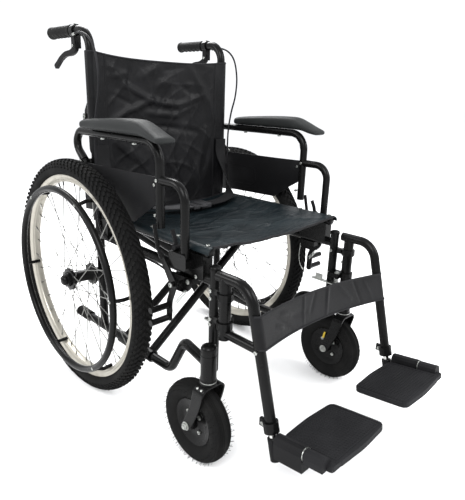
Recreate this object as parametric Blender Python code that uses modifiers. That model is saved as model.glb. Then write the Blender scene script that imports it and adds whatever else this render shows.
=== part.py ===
"""Manual folding wheelchair: a steel frame with a double cross brace, swing-away leg rests,
flip-back arms, folding back canes, wheel locks and attendant brakes.

Metres, +Z up, the chair faces -Y. The origin is on the ground under the middle of the chair.
Side +1 is the sitter's left (+X) and side -1 the sitter's right (-X).
"""
import math

import bmesh
import bpy
from mathutils import Matrix, Vector

# ---------------------------------------------------------------- driving dimensions
AXLE_Y = 0.2323           # rear axle, measured from the middle of the chair
GAP = 0.0003              # clearance between pieces that touch
TUBE_R = 0.011            # frame, cane and leg rest tube
ARM_R = 0.0095            # arm rest tube
TUBE_SIDES = 8
FINE_SIDES = 8

FRAME_X = 0.212           # middle of each side frame
POST_Y = -0.447           # front post, from the rear axle
POST_TOP = 0.440
POST_FOOT = 0.207
UPPER_RAIL_Z = 0.410
LOWER_RAIL_Z = 0.142
TIP_LEVER_Y = 0.128       # end of the tipping lever behind the axle
TIP_LEVER_R = 0.0145
RAIL_RISE_Y = -0.300      # where the lower rail climbs to the caster housing
RAIL_FRONT_Z = 0.234
UPRIGHT_TOP = 0.7060

CASTER_X = 0.250
CASTER_Y = -0.474
HOUSING_R = 0.0165
HOUSING_FOOT = 0.209
HOUSING_TOP = 0.290
STEM_R = 0.0080
STEM_CLEARANCE = 0.0006
CASTER_R = 0.094
CASTER_WIDTH = 0.046
CASTER_RIM_R = 0.052
CASTER_TRAIL = 0.034
FORK_WALL = 0.0045
FORK_CROWN = 0.0042        # seat disc between the housing and the fork
FORK_DECK = 0.0070
CASTER_BOLT_R = 0.0050

WHEEL_X = 0.279
WHEEL_R = 0.305
TYRE_WIDTH = 0.048
RIM_R = WHEEL_R - 0.041
RIM_DEPTH = 0.016
RIM_WIDTH = 0.028
HUB_R = 0.0165
HUB_FLANGE_R = 0.027
HUB_FLANGE = 0.0075
HUB_INNER_X = 0.2335
HUB_OUTER_X = 0.318
SPOKES = 36
SPOKE_R = 0.0013
AXLE_R = 0.0060
AXLE_CLEARANCE = 0.0005
HAND_RIM_X = 0.3225
HAND_RIM_R = WHEEL_R - 0.0705
HAND_RIM_TUBE_R = 0.0085
HAND_RIM_CLIPS = 6

SADDLE_TOP = 0.460
CUP_FOOT = 0.426          # underside of the socket that the arm loop drops into
POCKET_OVERRUN = 0.0267     # how far the arm loop's pocket is cut above the saddle
ARM_PIN_R = 0.0040
HINGE_PIN_R = 0.0030
PIN_CLEARANCE = 0.0006
STEM_REACH = 0.050
WHEEL_STEPS = 34
CASTER_STEPS = 22
SPOKE_SIDES = 3
SPOKE_LEAN = math.radians(72)
CLIP_R = 0.0050

SEAT_RAIL_Z = 0.466
SEAT_RAIL_FRONT = -0.428
SEAT_RAIL_REAR = -0.030
BRACE_PIVOT_Z = LOWER_RAIL_Z
BRACE_TUBE_R = 0.0105
BRACE_PLANES = (-0.212, -0.102)
BRACE_PAIR_GAP = 0.004
BRACE_STEP = 2 * BRACE_TUBE_R + BRACE_PAIR_GAP
CROSS_BOLT_R = 0.0045
SLEEVE_WALL = 0.0035
SLEEVE_CLEARANCE = 0.0010

HANGER_X = 0.220
HANGER_Y = -0.486
HANGER_TUBE_R = 0.0125
HANGER_FOOT = 0.300
HANGER_TOP = 0.430
COLLAR_WALL = 0.004
COLLAR_CLEARANCE = 0.0007
COLLAR_HEIGHT = 0.015
COLLAR_LEVELS = (0.330, 0.392)
LEG_TOP_Y = -0.553
STRUT_R = 0.0095
STRUT_Z = 0.312
LATCH_THICK = 0.003
LATCH_X = 0.1965
LATCH_Y = -0.474
LATCH_Z = 0.306
LATCH_STUD_R = 0.0035
LEG_END_Y = -0.624
LEG_END_Z = 0.160
LEG_BORE_R = 0.0080
ROD_R = 0.0074
ROD_END = 0.060           # rod length that shows below the leg tube
ROD_INSIDE = 0.085

PLATE_TILT = math.radians(8)
PLATE_OUTER_X = 0.210
PLATE_WIDTH = 0.165
PLATE_LENGTH = 0.128
PLATE_THICK = 0.011
HINGE_AHEAD = 0.016       # plate's rear edge ahead of the leg tube's end
PLATE_REAR_Y = LEG_END_Y - HINGE_AHEAD
PLATE_REAR_Z = 0.146
HINGE_BAR_R = 0.013
HINGE_RISE = 0.002         # hinge axis above the tread
HINGE_BLOCK_REAR = 0.006   # setback of the housing behind the rod's clamp
HINGE_BLOCK_LENGTH = 0.072
HINGE_BLOCK_WIDTH = 0.030
HINGE_BLOCK_DROP = 0.030
PLATE_BULGE = 0.005       # bow of the plate's front and rear edges
PLATE_PIN_R = 0.0045
PLATE_PIN_REAR = 0.018     # blind end of the pin, ahead of the rod
PLATE_FLOOR = 0.004

ARM_X = 0.2405
ARM_PIVOT_Y = 0.004
ARM_PIVOT_Z = 0.600
ARM_TOP_Z = 0.675
ARM_REAR_Y = 0.046
ARM_LEG_Y = -0.305
ARM_LEG_FOOT = 0.497
ARM_LOOP_Y = -0.386
ARM_LOOP_TOP = 0.598
ARM_LOOP_FOOT = 0.447
PAD_REAR_Y = -0.036
PAD_BEND_Y = -0.268
PAD_TIP_Y = -0.350
PAD_WIDTH = 0.048
PAD_X = 0.2525            # the pad stands outboard so that it passes the cane
PAD_DEPTH = 0.031
PANEL_THICK = 0.003
PANEL_TOP = 0.628
PANEL_FOOT = 0.486
PANEL_REAR_Y = -0.045

CANE_PIVOT_Y = 0.030
CANE_PIVOT_Z = 0.7065
CANE_TOP = 0.906
GRIP_REAR_Y = 0.188
GRIP_R = 0.0150
TONGUE = 0.0070           # hinge tongue on the cane
CHEEK = 0.0050            # hinge cheeks on the upright
CLAMP_Y = 0.066
CLAMP_R = 0.0155
LEVER_PIVOT_Z = CANE_TOP - 0.034
BACK_TOP = 0.858
BACK_FOOT = 0.478
CLOTH = 0.0022
SEAT_FRONT = -0.440
SEAT_REAR = -0.040
STRAP_FOOT = 0.308
STRAP_TOP = 0.372
STRAP_SAG = 0.012
BELT_WIDTH = 0.038
BELT_THICK = 0.0020
BUCKLE = (0.011, -0.137, 0.4825)
BACK_CLEARANCE = 0.0014
BELT_SEAT_Y = -(TUBE_R + BACK_CLEARANCE + CLOTH + BELT_THICK / 2 + GAP)

BRAKE_Y = -0.370          # pin of the wheel lock
BRAKE_Z = 0.392
BRAKE_TOP = 0.403
BRAKE_PLATE = 0.005
BRAKE_PLATE_X = 0.2305
BRAKE_PIN_R = 0.0035
BRAKE_PIN_END = 0.2650
SHOE_X = 0.2505
SHOE_Y = -0.345
SHOE_LEVELS = (0.335, 0.306)
SHOE_R = 0.0070
SHOE_END = 0.300
LEVER_X = 0.2585
LEVER_R = 0.0045
LEVER_HUB = 0.0100        # width of the attendant lever
LEVER_PADDLE_R = 0.0062
LEVER_CURVE = ((0.001, 0.002), (0.013, 0.009), (0.026, 0.013), (0.056, 0.0175), (0.084, 0.0290), (0.110, 0.0450))
LEVER_PIN_R = 0.0020
RELEASE_Y = -0.3575       # arm latch
RELEASE_Z = 0.4668
CABLE_X = 0.2258
CABLE_R = 0.0025


def at(x, y, z):
    """A place from its distance behind the rear axle."""
    return Vector((x, AXLE_Y + y, z))


# ---------------------------------------------------------------- scene and materials
def clear_scene():
    for item in list(bpy.data.objects):
        bpy.data.objects.remove(item, do_unlink=True)


def new_collection(name):
    group = bpy.data.collections.new(name)
    bpy.context.scene.collection.children.link(group)
    return group


def finish(name, colour, metallic, roughness):
    material = bpy.data.materials.new(name)
    material.use_nodes = True
    shader = material.node_tree.nodes["Principled BSDF"]
    shader.inputs["Base Color"].default_value = (*colour, 1.0)
    shader.inputs["Metallic"].default_value = metallic
    shader.inputs["Roughness"].default_value = roughness
    return material


clear_scene()
PARTS = new_collection("manual_wheelchair")
CUTTERS = new_collection("construction")
BLACK_PAINT = finish("black_powder_coat", (0.012, 0.012, 0.013), 0.2, 0.32)
BLACK_PLASTIC = finish("black_plastic", (0.018, 0.018, 0.019), 0.0, 0.50)
GREY_PLASTIC = finish("grey_black_plastic", (0.035, 0.036, 0.038), 0.0, 0.55)
TYRE_RUBBER = finish("tyre_rubber", (0.014, 0.014, 0.014), 0.0, 0.85)
GRIP_RUBBER = finish("grip_rubber", (0.016, 0.016, 0.016), 0.0, 0.70)
RIM_METAL = finish("rim_aluminium", (0.55, 0.53, 0.47), 0.9, 0.42)
SPOKE_METAL = finish("spoke_steel", (0.50, 0.48, 0.44), 1.0, 0.35)
ZINC = finish("zinc_plate", (0.52, 0.56, 0.55), 1.0, 0.38)
CHROME = finish("chrome", (0.75, 0.75, 0.74), 1.0, 0.12)
NYLON = finish("black_nylon", (0.014, 0.014, 0.016), 0.0, 0.45)
SEAT_NYLON = finish("seat_nylon", (0.024, 0.028, 0.031), 0.0, 0.50)
WEBBING = finish("belt_webbing", (0.018, 0.018, 0.019), 0.0, 0.70)
BUCKLE_PLASTIC = finish("buckle_plastic", (0.060, 0.060, 0.062), 0.0, 0.50)


def adopt(item, material, group=None):
    """Put an object in its collection with its own material."""
    for owner in list(item.users_collection):
        owner.objects.unlink(item)
    (group or PARTS).objects.link(item)
    item.data.materials.clear()
    item.data.materials.append(material)
    return item


def hide_tool(item):
    item.hide_render = True
    item.display_type = "WIRE"
    return item


def mesh_object(name, mesh, material=BLACK_PAINT, tool=False):
    item = bpy.data.objects.new(name, mesh)
    group = CUTTERS if tool else PARTS
    group.objects.link(item)
    mesh.materials.clear()
    mesh.materials.append(material)
    return hide_tool(item) if tool else item


# ---------------------------------------------------------------- shape helpers
def weld(mesh):
    """Close loose seams and turn the faces outwards."""
    work = bmesh.new()
    work.from_mesh(mesh)
    bmesh.ops.remove_doubles(work, verts=work.verts, dist=0.00001)
    bmesh.ops.recalc_face_normals(work, faces=work.faces)
    work.to_mesh(mesh)
    work.free()


def route(corners, radii, steps=4):
    """Points along straight runs joined by bends of the given radii."""
    points = [Vector(corners[0])]
    for index in range(1, len(corners) - 1):
        before, corner, after = (Vector(corners[index + k]) for k in (-1, 0, 1))
        arrive = (corner - before).normalized()
        leave = (after - corner).normalized()
        turn = arrive.angle(leave)
        reach = radii[index - 1] * math.tan(turn / 2)
        first = corner - arrive * reach
        side = (leave - arrive * arrive.dot(leave)).normalized()
        centre = first + side * radii[index - 1]
        for k in range(steps + 1):
            angle = turn * k / steps
            spoke = arrive * math.sin(angle) - side * math.cos(angle)
            points.append(centre + spoke * radii[index - 1])
    points.append(Vector(corners[-1]))
    return points


def smooth_route(corners, count):
    """A smooth curve through chosen points, read at even steps."""
    chain = [Vector(p) for p in corners]
    chain = [2 * chain[0] - chain[1]] + chain + [2 * chain[-1] - chain[-2]]
    spans = len(chain) - 3
    points = []
    for k in range(count):
        place = spans * k / (count - 1)
        span = min(int(place), spans - 1)
        t = place - span
        a, b, c, d = chain[span:span + 4]
        points.append(0.5 * (2 * b + (c - a) * t + (2 * a - 5 * b + 4 * c - d) * t * t
                             + (3 * b - a - 3 * c + d) * t ** 3))
    return points


def tube(name, points, radius, material=BLACK_PAINT, sides=TUBE_SIDES, tool=False):
    """A round bar along points, with closed ends, as a welded mesh."""
    curve = bpy.data.curves.new(name, "CURVE")
    curve.dimensions = "3D"
    curve.bevel_depth = radius
    curve.bevel_resolution = sides // 2 - 2
    curve.use_fill_caps = True
    spline = curve.splines.new("POLY")
    spline.points.add(len(points) - 1)
    for target, point in zip(spline.points, points):
        target.co = (*point, 1.0)
    source = bpy.data.objects.new(name + "_path", curve)
    CUTTERS.objects.link(source)
    bpy.context.view_layer.update()
    evaluated = source.evaluated_get(bpy.context.evaluated_depsgraph_get())
    mesh = bpy.data.meshes.new_from_object(evaluated)
    mesh.name = name
    weld(mesh)
    item = mesh_object(name, mesh, material, tool)
    item.matrix_world = source.matrix_world.copy()
    bpy.data.objects.remove(source, do_unlink=True)
    mesh.shade_smooth()
    mesh.set_sharp_from_angle(angle=math.radians(40))
    return item


def lathe(name, profile, place, axis="X", material=BLACK_PAINT, steps=24, closed=False, tool=False):
    """Turn a profile of (radius, height) points, listed from top to bottom, about an axis."""
    mesh = bpy.data.meshes.new(name)
    edges = [(k, k + 1) for k in range(len(profile) - 1)]
    if closed:
        edges.append((len(profile) - 1, 0))
    mesh.from_pydata([(r, 0, h) for r, h in profile], edges, [])
    item = mesh_object(name, mesh, material, tool)
    turning = {"X": Matrix.Rotation(math.pi / 2, 4, "Y"), "Y": Matrix.Rotation(-math.pi / 2, 4, "X"),
               "-Y": Matrix.Rotation(math.pi / 2, 4, "X"),
               "-X": Matrix.Rotation(-math.pi / 2, 4, "Y"), "Z": Matrix.Identity(4)}[axis]
    item.matrix_world = Matrix.Translation(place) @ turning
    screw = item.modifiers.new("turn", "SCREW")
    screw.angle = math.tau
    screw.steps = steps
    screw.render_steps = steps
    screw.use_merge_vertices = True
    screw.merge_threshold = 0.00001
    screw.use_smooth_shade = True
    return item


def disc(name, radius, place, half, axis="X", material=BLACK_PAINT, steps=12, tool=False):
    """A plain round bar centred on place."""
    profile = [(0, half), (radius, half), (radius, -half), (0, -half)]
    return lathe(name, profile, place, axis, material, steps, tool=tool)


def slab(name, outline, thickness, frame, material=BLACK_PAINT, tool=False):
    """A flat outline given in its own plane, of even thickness, placed by a matrix."""
    curve = bpy.data.curves.new(name, "CURVE")
    curve.dimensions = "2D"
    curve.fill_mode = "BOTH"
    curve.extrude = thickness / 2
    spline = curve.splines.new("POLY")
    spline.points.add(len(outline) - 1)
    for target, point in zip(spline.points, outline):
        target.co = (point[0], point[1], 0.0, 1.0)
    spline.use_cyclic_u = True
    source = bpy.data.objects.new(name + "_outline", curve)
    CUTTERS.objects.link(source)
    bpy.context.view_layer.update()
    evaluated = source.evaluated_get(bpy.context.evaluated_depsgraph_get())
    mesh = bpy.data.meshes.new_from_object(evaluated)
    mesh.name = name
    weld(mesh)
    bpy.data.objects.remove(source, do_unlink=True)
    item = mesh_object(name, mesh, material, tool)
    item.matrix_world = frame
    return item


def side_plane(x):
    """A frame whose flat outline is read as (distance behind the axle, height) at x."""
    turn = Matrix(((0, 0, 1, 0), (1, 0, 0, 0), (0, 1, 0, 0), (0, 0, 0, 1)))
    return Matrix.Translation((x, AXLE_Y, 0)) @ turn


def rounded(outline, radius, steps=3):
    """Corner points of a flat outline replaced by arcs."""
    points = []
    count = len(outline)
    for k in range(count):
        corner = Vector(outline[k])
        before = (Vector(outline[k - 1]) - corner)
        after = (Vector(outline[(k + 1) % count]) - corner)
        reach = min(radius, before.length * 0.45, after.length * 0.45)
        first = corner + before.normalized() * reach
        last = corner + after.normalized() * reach
        for j in range(steps + 1):
            t = j / steps
            points.append((1 - t) ** 2 * first + 2 * t * (1 - t) * corner + t * t * last)
    return points


def block(name, size, place, material=BLACK_PAINT, edge=0.0, tool=False, turn=None):
    """A box with softened edges."""
    bpy.ops.mesh.primitive_cube_add(size=1.0)
    item = bpy.context.active_object
    item.name = name
    item.data.transform(Matrix.Diagonal((*size, 1.0)))
    adopt(item, material, CUTTERS if tool else PARTS)
    item.matrix_world = Matrix.Translation(place) @ (turn or Matrix.Identity(4))
    if edge:
        bevel = item.modifiers.new("soft_edges", "BEVEL")
        bevel.width = edge
        bevel.segments = 2
    return hide_tool(item) if tool else item


def combine(base, tools, operation="UNION"):
    """Join or cut with tools that stay hidden."""
    for tool in tools:
        step = base.modifiers.new(operation.lower(), "BOOLEAN")
        step.operation = operation
        step.solver = "EXACT"
        step.object = tool
        if tool.name in PARTS.objects:
            PARTS.objects.unlink(tool)
            CUTTERS.objects.link(tool)
            hide_tool(tool)
    return base


def pivot(name, place, parent=None):
    empty = bpy.data.objects.new(name, None)
    empty.empty_display_size = 0.02
    PARTS.objects.link(empty)
    empty.location = place
    bpy.context.view_layer.update()
    if parent:
        hang(empty, parent)
    return empty


def hang(item, parent):
    """Parent a piece without moving it."""
    bpy.context.view_layer.update()
    item.parent = parent
    item.matrix_parent_inverse = parent.matrix_world.inverted()
    return item


def side_name(side):
    return "left" if side > 0 else "right"


def out(side):
    """Turning axis whose profile height grows away from the sitter."""
    return "X" if side > 0 else "-X"


# ---------------------------------------------------------------- side frames
def saddle(name, side, y_middle, length, x_out):
    """Plastic saddle on the upper rail whose cradle takes the seat rail."""
    x_in = FRAME_X - TUBE_R - 0.002
    foot = UPPER_RAIL_Z
    width = x_out - x_in
    place = at(side * (x_in + width / 2), y_middle, (foot + SADDLE_TOP) / 2)
    return block(name, (width, length, SADDLE_TOP - foot), place)


def frame_rail(side):
    """The lower rail: tipping lever, straight run, climb and the joint to the caster housing."""
    x = side * FRAME_X
    corners = [at(x, TIP_LEVER_Y, LOWER_RAIL_Z), at(x, RAIL_RISE_Y, LOWER_RAIL_Z),
               at(x, RAIL_RISE_Y - 0.052, RAIL_FRONT_Z),
               at(side * CASTER_X, CASTER_Y, RAIL_FRONT_Z + 0.012)]
    return route(corners, [0.030, 0.030], 4)


def side_frame(side):
    x = side * FRAME_X
    name = side_name(side)
    base = tube(name + "_frame", [at(x, POST_Y, POST_FOOT), at(x, POST_Y, POST_TOP)], TUBE_R)
    post_cap = lathe(name + "_post_cap", [(0, 0.004), (0.008, 0.0035), (TUBE_R + 0.0008, 0.001),
                     (TUBE_R + 0.0008, -0.006), (0, -0.006)], at(x, POST_Y, POST_TOP), "Z", steps=12)
    upright = tube(name + "_upright", [at(x, 0, LOWER_RAIL_Z - 0.004), at(x, 0, UPRIGHT_TOP)], TUBE_R)
    upper = tube(name + "_upper_rail", [at(x, 0.002, UPPER_RAIL_Z), at(x, POST_Y, UPPER_RAIL_Z)],
                 TUBE_R - GAP)
    lower = tube(name + "_lower_rail", frame_rail(side), TUBE_R - GAP)
    tip = lathe(name + "_lever_tip", [(0, 0.062), (TIP_LEVER_R, 0.058), (TIP_LEVER_R, 0), (0, 0)],
                at(x, TIP_LEVER_Y - 0.052, LOWER_RAIL_Z), "Y", steps=12)
    wall = HOUSING_R
    housing = lathe(name + "_housing", [(0, HOUSING_TOP), (0.010, HOUSING_TOP - 0.001),
                    (wall, HOUSING_TOP - 0.006), (wall, HOUSING_FOOT), (0, HOUSING_FOOT)],
                    at(side * CASTER_X, CASTER_Y, 0), "Z", steps=12)
    span = Vector((CASTER_X - FRAME_X, CASTER_Y - POST_Y))
    gusset = block(name + "_gusset", (span.length, 0.005, 0.058),
                   at(side * (CASTER_X + FRAME_X) / 2, (CASTER_Y + POST_Y) / 2, 0.249),
                   turn=Matrix.Rotation(side * math.atan2(span.y, span.x), 4, "Z"))
    pieces = [post_cap, upright, upper, lower, tip, housing, gusset]
    collar_bore = HANGER_TUBE_R + COLLAR_CLEARANCE
    collar_r = collar_bore + COLLAR_WALL
    for number, level in enumerate(COLLAR_LEVELS):
        half = COLLAR_HEIGHT / 2
        ring = [(collar_r, half), (collar_r, -half), (collar_bore, -half), (collar_bore, half)]
        pieces.append(lathe(f"{name}_collar_{number}", ring, at(side * HANGER_X, HANGER_Y, level), "Z",
                            steps=12, closed=True))
        pieces.append(block(f"{name}_collar_web_{number}", (0.011, 0.023, COLLAR_HEIGHT - 0.002),
                            at(side * (FRAME_X + 0.0035), POST_Y - 0.0125, level)))
    pieces.append(block(name + "_latch_ear", (0.0160, 0.030, COLLAR_HEIGHT - 0.003),
                        at(side * LATCH_X, LATCH_Y + 0.0075, COLLAR_LEVELS[0])))
    front_saddle = saddle(name + "_front_saddle", side, ARM_LOOP_Y + 0.003, 0.084, FRAME_X + TUBE_R + 0.002)
    cup_x = FRAME_X + TUBE_R, ARM_X + ARM_R + 0.0024
    cup = rounded([(ARM_LOOP_Y - 0.0165, SADDLE_TOP), (RELEASE_Y + 0.0105, SADDLE_TOP),
                   (RELEASE_Y + 0.0105, CUP_FOOT), (ARM_LOOP_Y - 0.0165, CUP_FOOT)], 0.0065, 2)
    pieces.append(slab(name + "_arm_cup", cup, cup_x[1] - cup_x[0], side_plane(side * sum(cup_x) / 2)))
    rear_saddle = saddle(name + "_rear_saddle", side, -0.047, 0.026, FRAME_X + TUBE_R + 0.002)
    axle_boss = disc(name + "_axle_boss", 0.0135, at(side * (FRAME_X + 0.006), 0, WHEEL_R), 0.0130)
    arm_boss = disc(name + "_arm_boss", 0.0085, at(side * (FRAME_X + 0.008), ARM_PIVOT_Y, ARM_PIVOT_Z),
                    ARM_X - ARM_R - GAP - FRAME_X - 0.008, steps=12)
    pin_end = ARM_X + ARM_R + 0.003
    arm_pin = disc(name + "_arm_pin", ARM_PIN_R, at(side * (FRAME_X + pin_end) / 2, ARM_PIVOT_Y,
                   ARM_PIVOT_Z), (pin_end - FRAME_X) / 2, steps=10)
    pieces += [front_saddle, rear_saddle, axle_boss, arm_boss, arm_pin]
    cheek = rounded([(0.002, UPRIGHT_TOP - 0.034), (0.002, UPRIGHT_TOP - 0.0015),
                     (CANE_PIVOT_Y - 0.008, UPRIGHT_TOP - 0.0015),
                     (CANE_PIVOT_Y - 0.008, CANE_PIVOT_Z + 0.008),
                     (CANE_PIVOT_Y + 0.008, CANE_PIVOT_Z + 0.008),
                     (CANE_PIVOT_Y + 0.008, UPRIGHT_TOP - 0.012),
                     (CANE_PIVOT_Y - 0.008, UPRIGHT_TOP - 0.034)], 0.004, 2)
    for number, inner in enumerate((-1, 1)):
        offset = inner * (TONGUE + CHEEK + 2 * GAP) / 2
        pieces.append(slab(f"{name}_cheek_{number}", cheek, CHEEK, side_plane(x + offset)))
    pieces.append(disc(name + "_hinge_pin", HINGE_PIN_R, at(x, CANE_PIVOT_Y, CANE_PIVOT_Z),
                       TONGUE / 2 + CHEEK + 0.0015, steps=10))
    combine(base, pieces)
    cuts = [tube(name + "_seat_rail_room",
                 [at(x, -0.60, SEAT_RAIL_Z), at(x, SEAT_RAIL_REAR + 0.008, SEAT_RAIL_Z)],
                 TUBE_R + 0.0014, tool=True),
            disc(name + "_stem_bore", STEM_R + STEM_CLEARANCE, at(side * CASTER_X, CASTER_Y,
                 HOUSING_FOOT + STEM_REACH / 2 - 0.004), STEM_REACH / 2 + 0.005, "Z", steps=12, tool=True),
            disc(name + "_axle_bore", AXLE_R + GAP, at(side * FRAME_X, 0, WHEEL_R), 0.040,
                 steps=12, tool=True)]
    cuts.append(disc(name + "_latch_bore", LATCH_STUD_R + PIN_CLEARANCE,
                     at(side * LATCH_X, LATCH_Y, COLLAR_LEVELS[0]), COLLAR_HEIGHT, "Z", tool=True))
    pocket_half = (SADDLE_TOP + POCKET_OVERRUN - (ARM_LOOP_FOOT - GAP)) / 2
    pocket = at(side * ARM_X, ARM_LOOP_Y, ARM_LOOP_FOOT - GAP + pocket_half)
    cuts.append(disc(name + "_arm_pocket", ARM_R + 0.0008, pocket, pocket_half, "Z", tool=True))
    cuts.append(block(name + "_arm_slot", (2 * ARM_R + 0.0016, 0.060, 2 * pocket_half),
                      pocket + Vector((0, -0.030, 0)), tool=True))
    return combine(base, cuts, "DIFFERENCE")


def axle(side):
    """The wheel bolt: thin nut inside the frame, shaft and the head under the hub cap."""
    inner = FRAME_X - TUBE_R - GAP
    profile = [(0, HUB_OUTER_X + 0.004), (0.010, HUB_OUTER_X + 0.004), (0.010, HUB_OUTER_X + GAP),
               (AXLE_R, HUB_OUTER_X + GAP), (AXLE_R, inner), (0.010, inner), (0.010, inner - 0.006),
               (0, inner - 0.006)]
    return lathe(side_name(side) + "_axle", profile, at(0, 0, WHEEL_R), out(side), ZINC, 10)


# ---------------------------------------------------------------- rear wheels
def ring_section(radius, middle_x, half_width, depth, belly):
    """Closed section of a ring, from its outer face round the rim edge to its inner face."""
    return [(radius - depth, middle_x + half_width * belly), (radius - depth * 0.55, middle_x + half_width),
            (radius - depth * 0.15, middle_x + half_width * 0.72), (radius, middle_x + half_width * 0.25),
            (radius, middle_x - half_width * 0.25), (radius - depth * 0.15, middle_x - half_width * 0.72),
            (radius - depth * 0.55, middle_x - half_width), (radius - depth, middle_x - half_width * belly)]


def rear_tyre(side):
    profile = ring_section(WHEEL_R, WHEEL_X, TYRE_WIDTH / 2, WHEEL_R - RIM_R - GAP, 0.50)
    return lathe(side_name(side) + "_rear_tyre", profile, at(0, 0, WHEEL_R), out(side), TYRE_RUBBER,
                 WHEEL_STEPS, closed=True)


def rear_rim(side):
    half = RIM_WIDTH / 2
    inner = RIM_R - RIM_DEPTH
    profile = [(inner, WHEEL_X + half * 0.45), (RIM_R - 0.006, WHEEL_X + half), (RIM_R, WHEEL_X + half),
               (RIM_R, WHEEL_X - half), (RIM_R - 0.006, WHEEL_X - half), (inner, WHEEL_X - half * 0.45)]
    return lathe(side_name(side) + "_rear_rim", profile, at(0, 0, WHEEL_R), out(side), RIM_METAL,
                 WHEEL_STEPS, closed=True)


def spoked_hub(side):
    """Hub shell with two flanges and crossed spokes that end just inside the rim."""
    name = side_name(side)
    inner, outer = HUB_INNER_X, HUB_OUTER_X
    seats = (inner + HUB_FLANGE / 2 + 0.006, outer - HUB_FLANGE / 2 - 0.010)
    profile = [(0, outer), (HUB_R - 0.002, outer), (HUB_R, outer - 0.003)]
    for middle in reversed(seats):
        profile += [(HUB_R, middle + HUB_FLANGE / 2 + 0.001), (HUB_FLANGE_R, middle + HUB_FLANGE / 2),
                    (HUB_FLANGE_R, middle - HUB_FLANGE / 2), (HUB_R, middle - HUB_FLANGE / 2 - 0.001)]
    profile += [(HUB_R, inner), (0, inner)]
    hub = lathe(name + "_spoked_hub", profile, at(0, 0, WHEEL_R), out(side), SPOKE_METAL, 12)
    reach = (RIM_R - RIM_DEPTH) * math.cos(math.pi / WHEEL_STEPS) - 2 * GAP
    spokes = []
    for k in range(SPOKES):
        rim_angle = math.tau * k / SPOKES
        turn = 1 if k % 4 < 2 else -1
        hub_angle = rim_angle + turn * SPOKE_LEAN
        flange_x = seats[k % 2] + turn * (HUB_FLANGE / 2 - 0.0010)
        start_r = HUB_FLANGE_R - 0.004
        start = at(side * flange_x, start_r * math.sin(hub_angle), WHEEL_R + start_r * math.cos(hub_angle))
        end = at(side * (WHEEL_X + (0.004 if k % 2 else -0.004)), reach * math.sin(rim_angle),
                 WHEEL_R + reach * math.cos(rim_angle))
        spokes.append(spoke_bar(f"{name}_spoke_{k}", start, end))
    combine(hub, [join_meshes(name + "_spokes", spokes)])
    bore = disc(name + "_hub_bore", AXLE_R + AXLE_CLEARANCE, at(side * WHEEL_X, 0, WHEEL_R), 0.08,
                steps=12, tool=True)
    return combine(hub, [bore], "DIFFERENCE")


def spoke_bar(name, start, end):
    """A thin straight bar with few sides."""
    work = bmesh.new()
    bmesh.ops.create_cone(work, cap_ends=True, segments=SPOKE_SIDES, radius1=SPOKE_R, radius2=SPOKE_R,
                          depth=(end - start).length)
    turn = (end - start).to_track_quat("Z", "Y").to_matrix().to_4x4()
    bmesh.ops.transform(work, matrix=Matrix.Translation((start + end) / 2) @ turn, verts=work.verts)
    mesh = bpy.data.meshes.new(name)
    work.to_mesh(mesh)
    work.free()
    return mesh


def join_meshes(name, meshes):
    """Several loose bars held in one tool object."""
    work = bmesh.new()
    for mesh in meshes:
        work.from_mesh(mesh)
        bpy.data.meshes.remove(mesh)
    joined = bpy.data.meshes.new(name)
    work.to_mesh(joined)
    work.free()
    return mesh_object(name, joined, BLACK_PAINT, tool=True)


def hand_rim(side):
    """Push rim with clips that bolt to the wheel rim."""
    name = side_name(side)
    x = side * HAND_RIM_X
    points = [(HAND_RIM_R + HAND_RIM_TUBE_R * math.cos(a), HAND_RIM_X + HAND_RIM_TUBE_R * math.sin(a))
              for a in (math.radians(90 - 45 * k) for k in range(8))]
    rim = lathe(name + "_hand_rim", points, at(0, 0, WHEEL_R), out(side), BLACK_PAINT, WHEEL_STEPS,
                closed=True)
    clips = []
    for k in range(HAND_RIM_CLIPS):
        angle = math.tau * ((k + 0.5) / HAND_RIM_CLIPS + 0.5 / SPOKES)
        start_r = HAND_RIM_R
        end_r = RIM_R - RIM_DEPTH - CLIP_R - 0.0010
        start = at(x, start_r * math.sin(angle), WHEEL_R + start_r * math.cos(angle))
        end = at(side * (WHEEL_X - 0.004), end_r * math.sin(angle), WHEEL_R + end_r * math.cos(angle))
        clips.append(tube(f"{name}_clip_{k}", [start, end], CLIP_R, sides=6))
    return combine(rim, clips)


# ---------------------------------------------------------------- front casters
def caster_axle(side):
    return at(side * CASTER_X, CASTER_Y + CASTER_TRAIL, CASTER_R)


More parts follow.
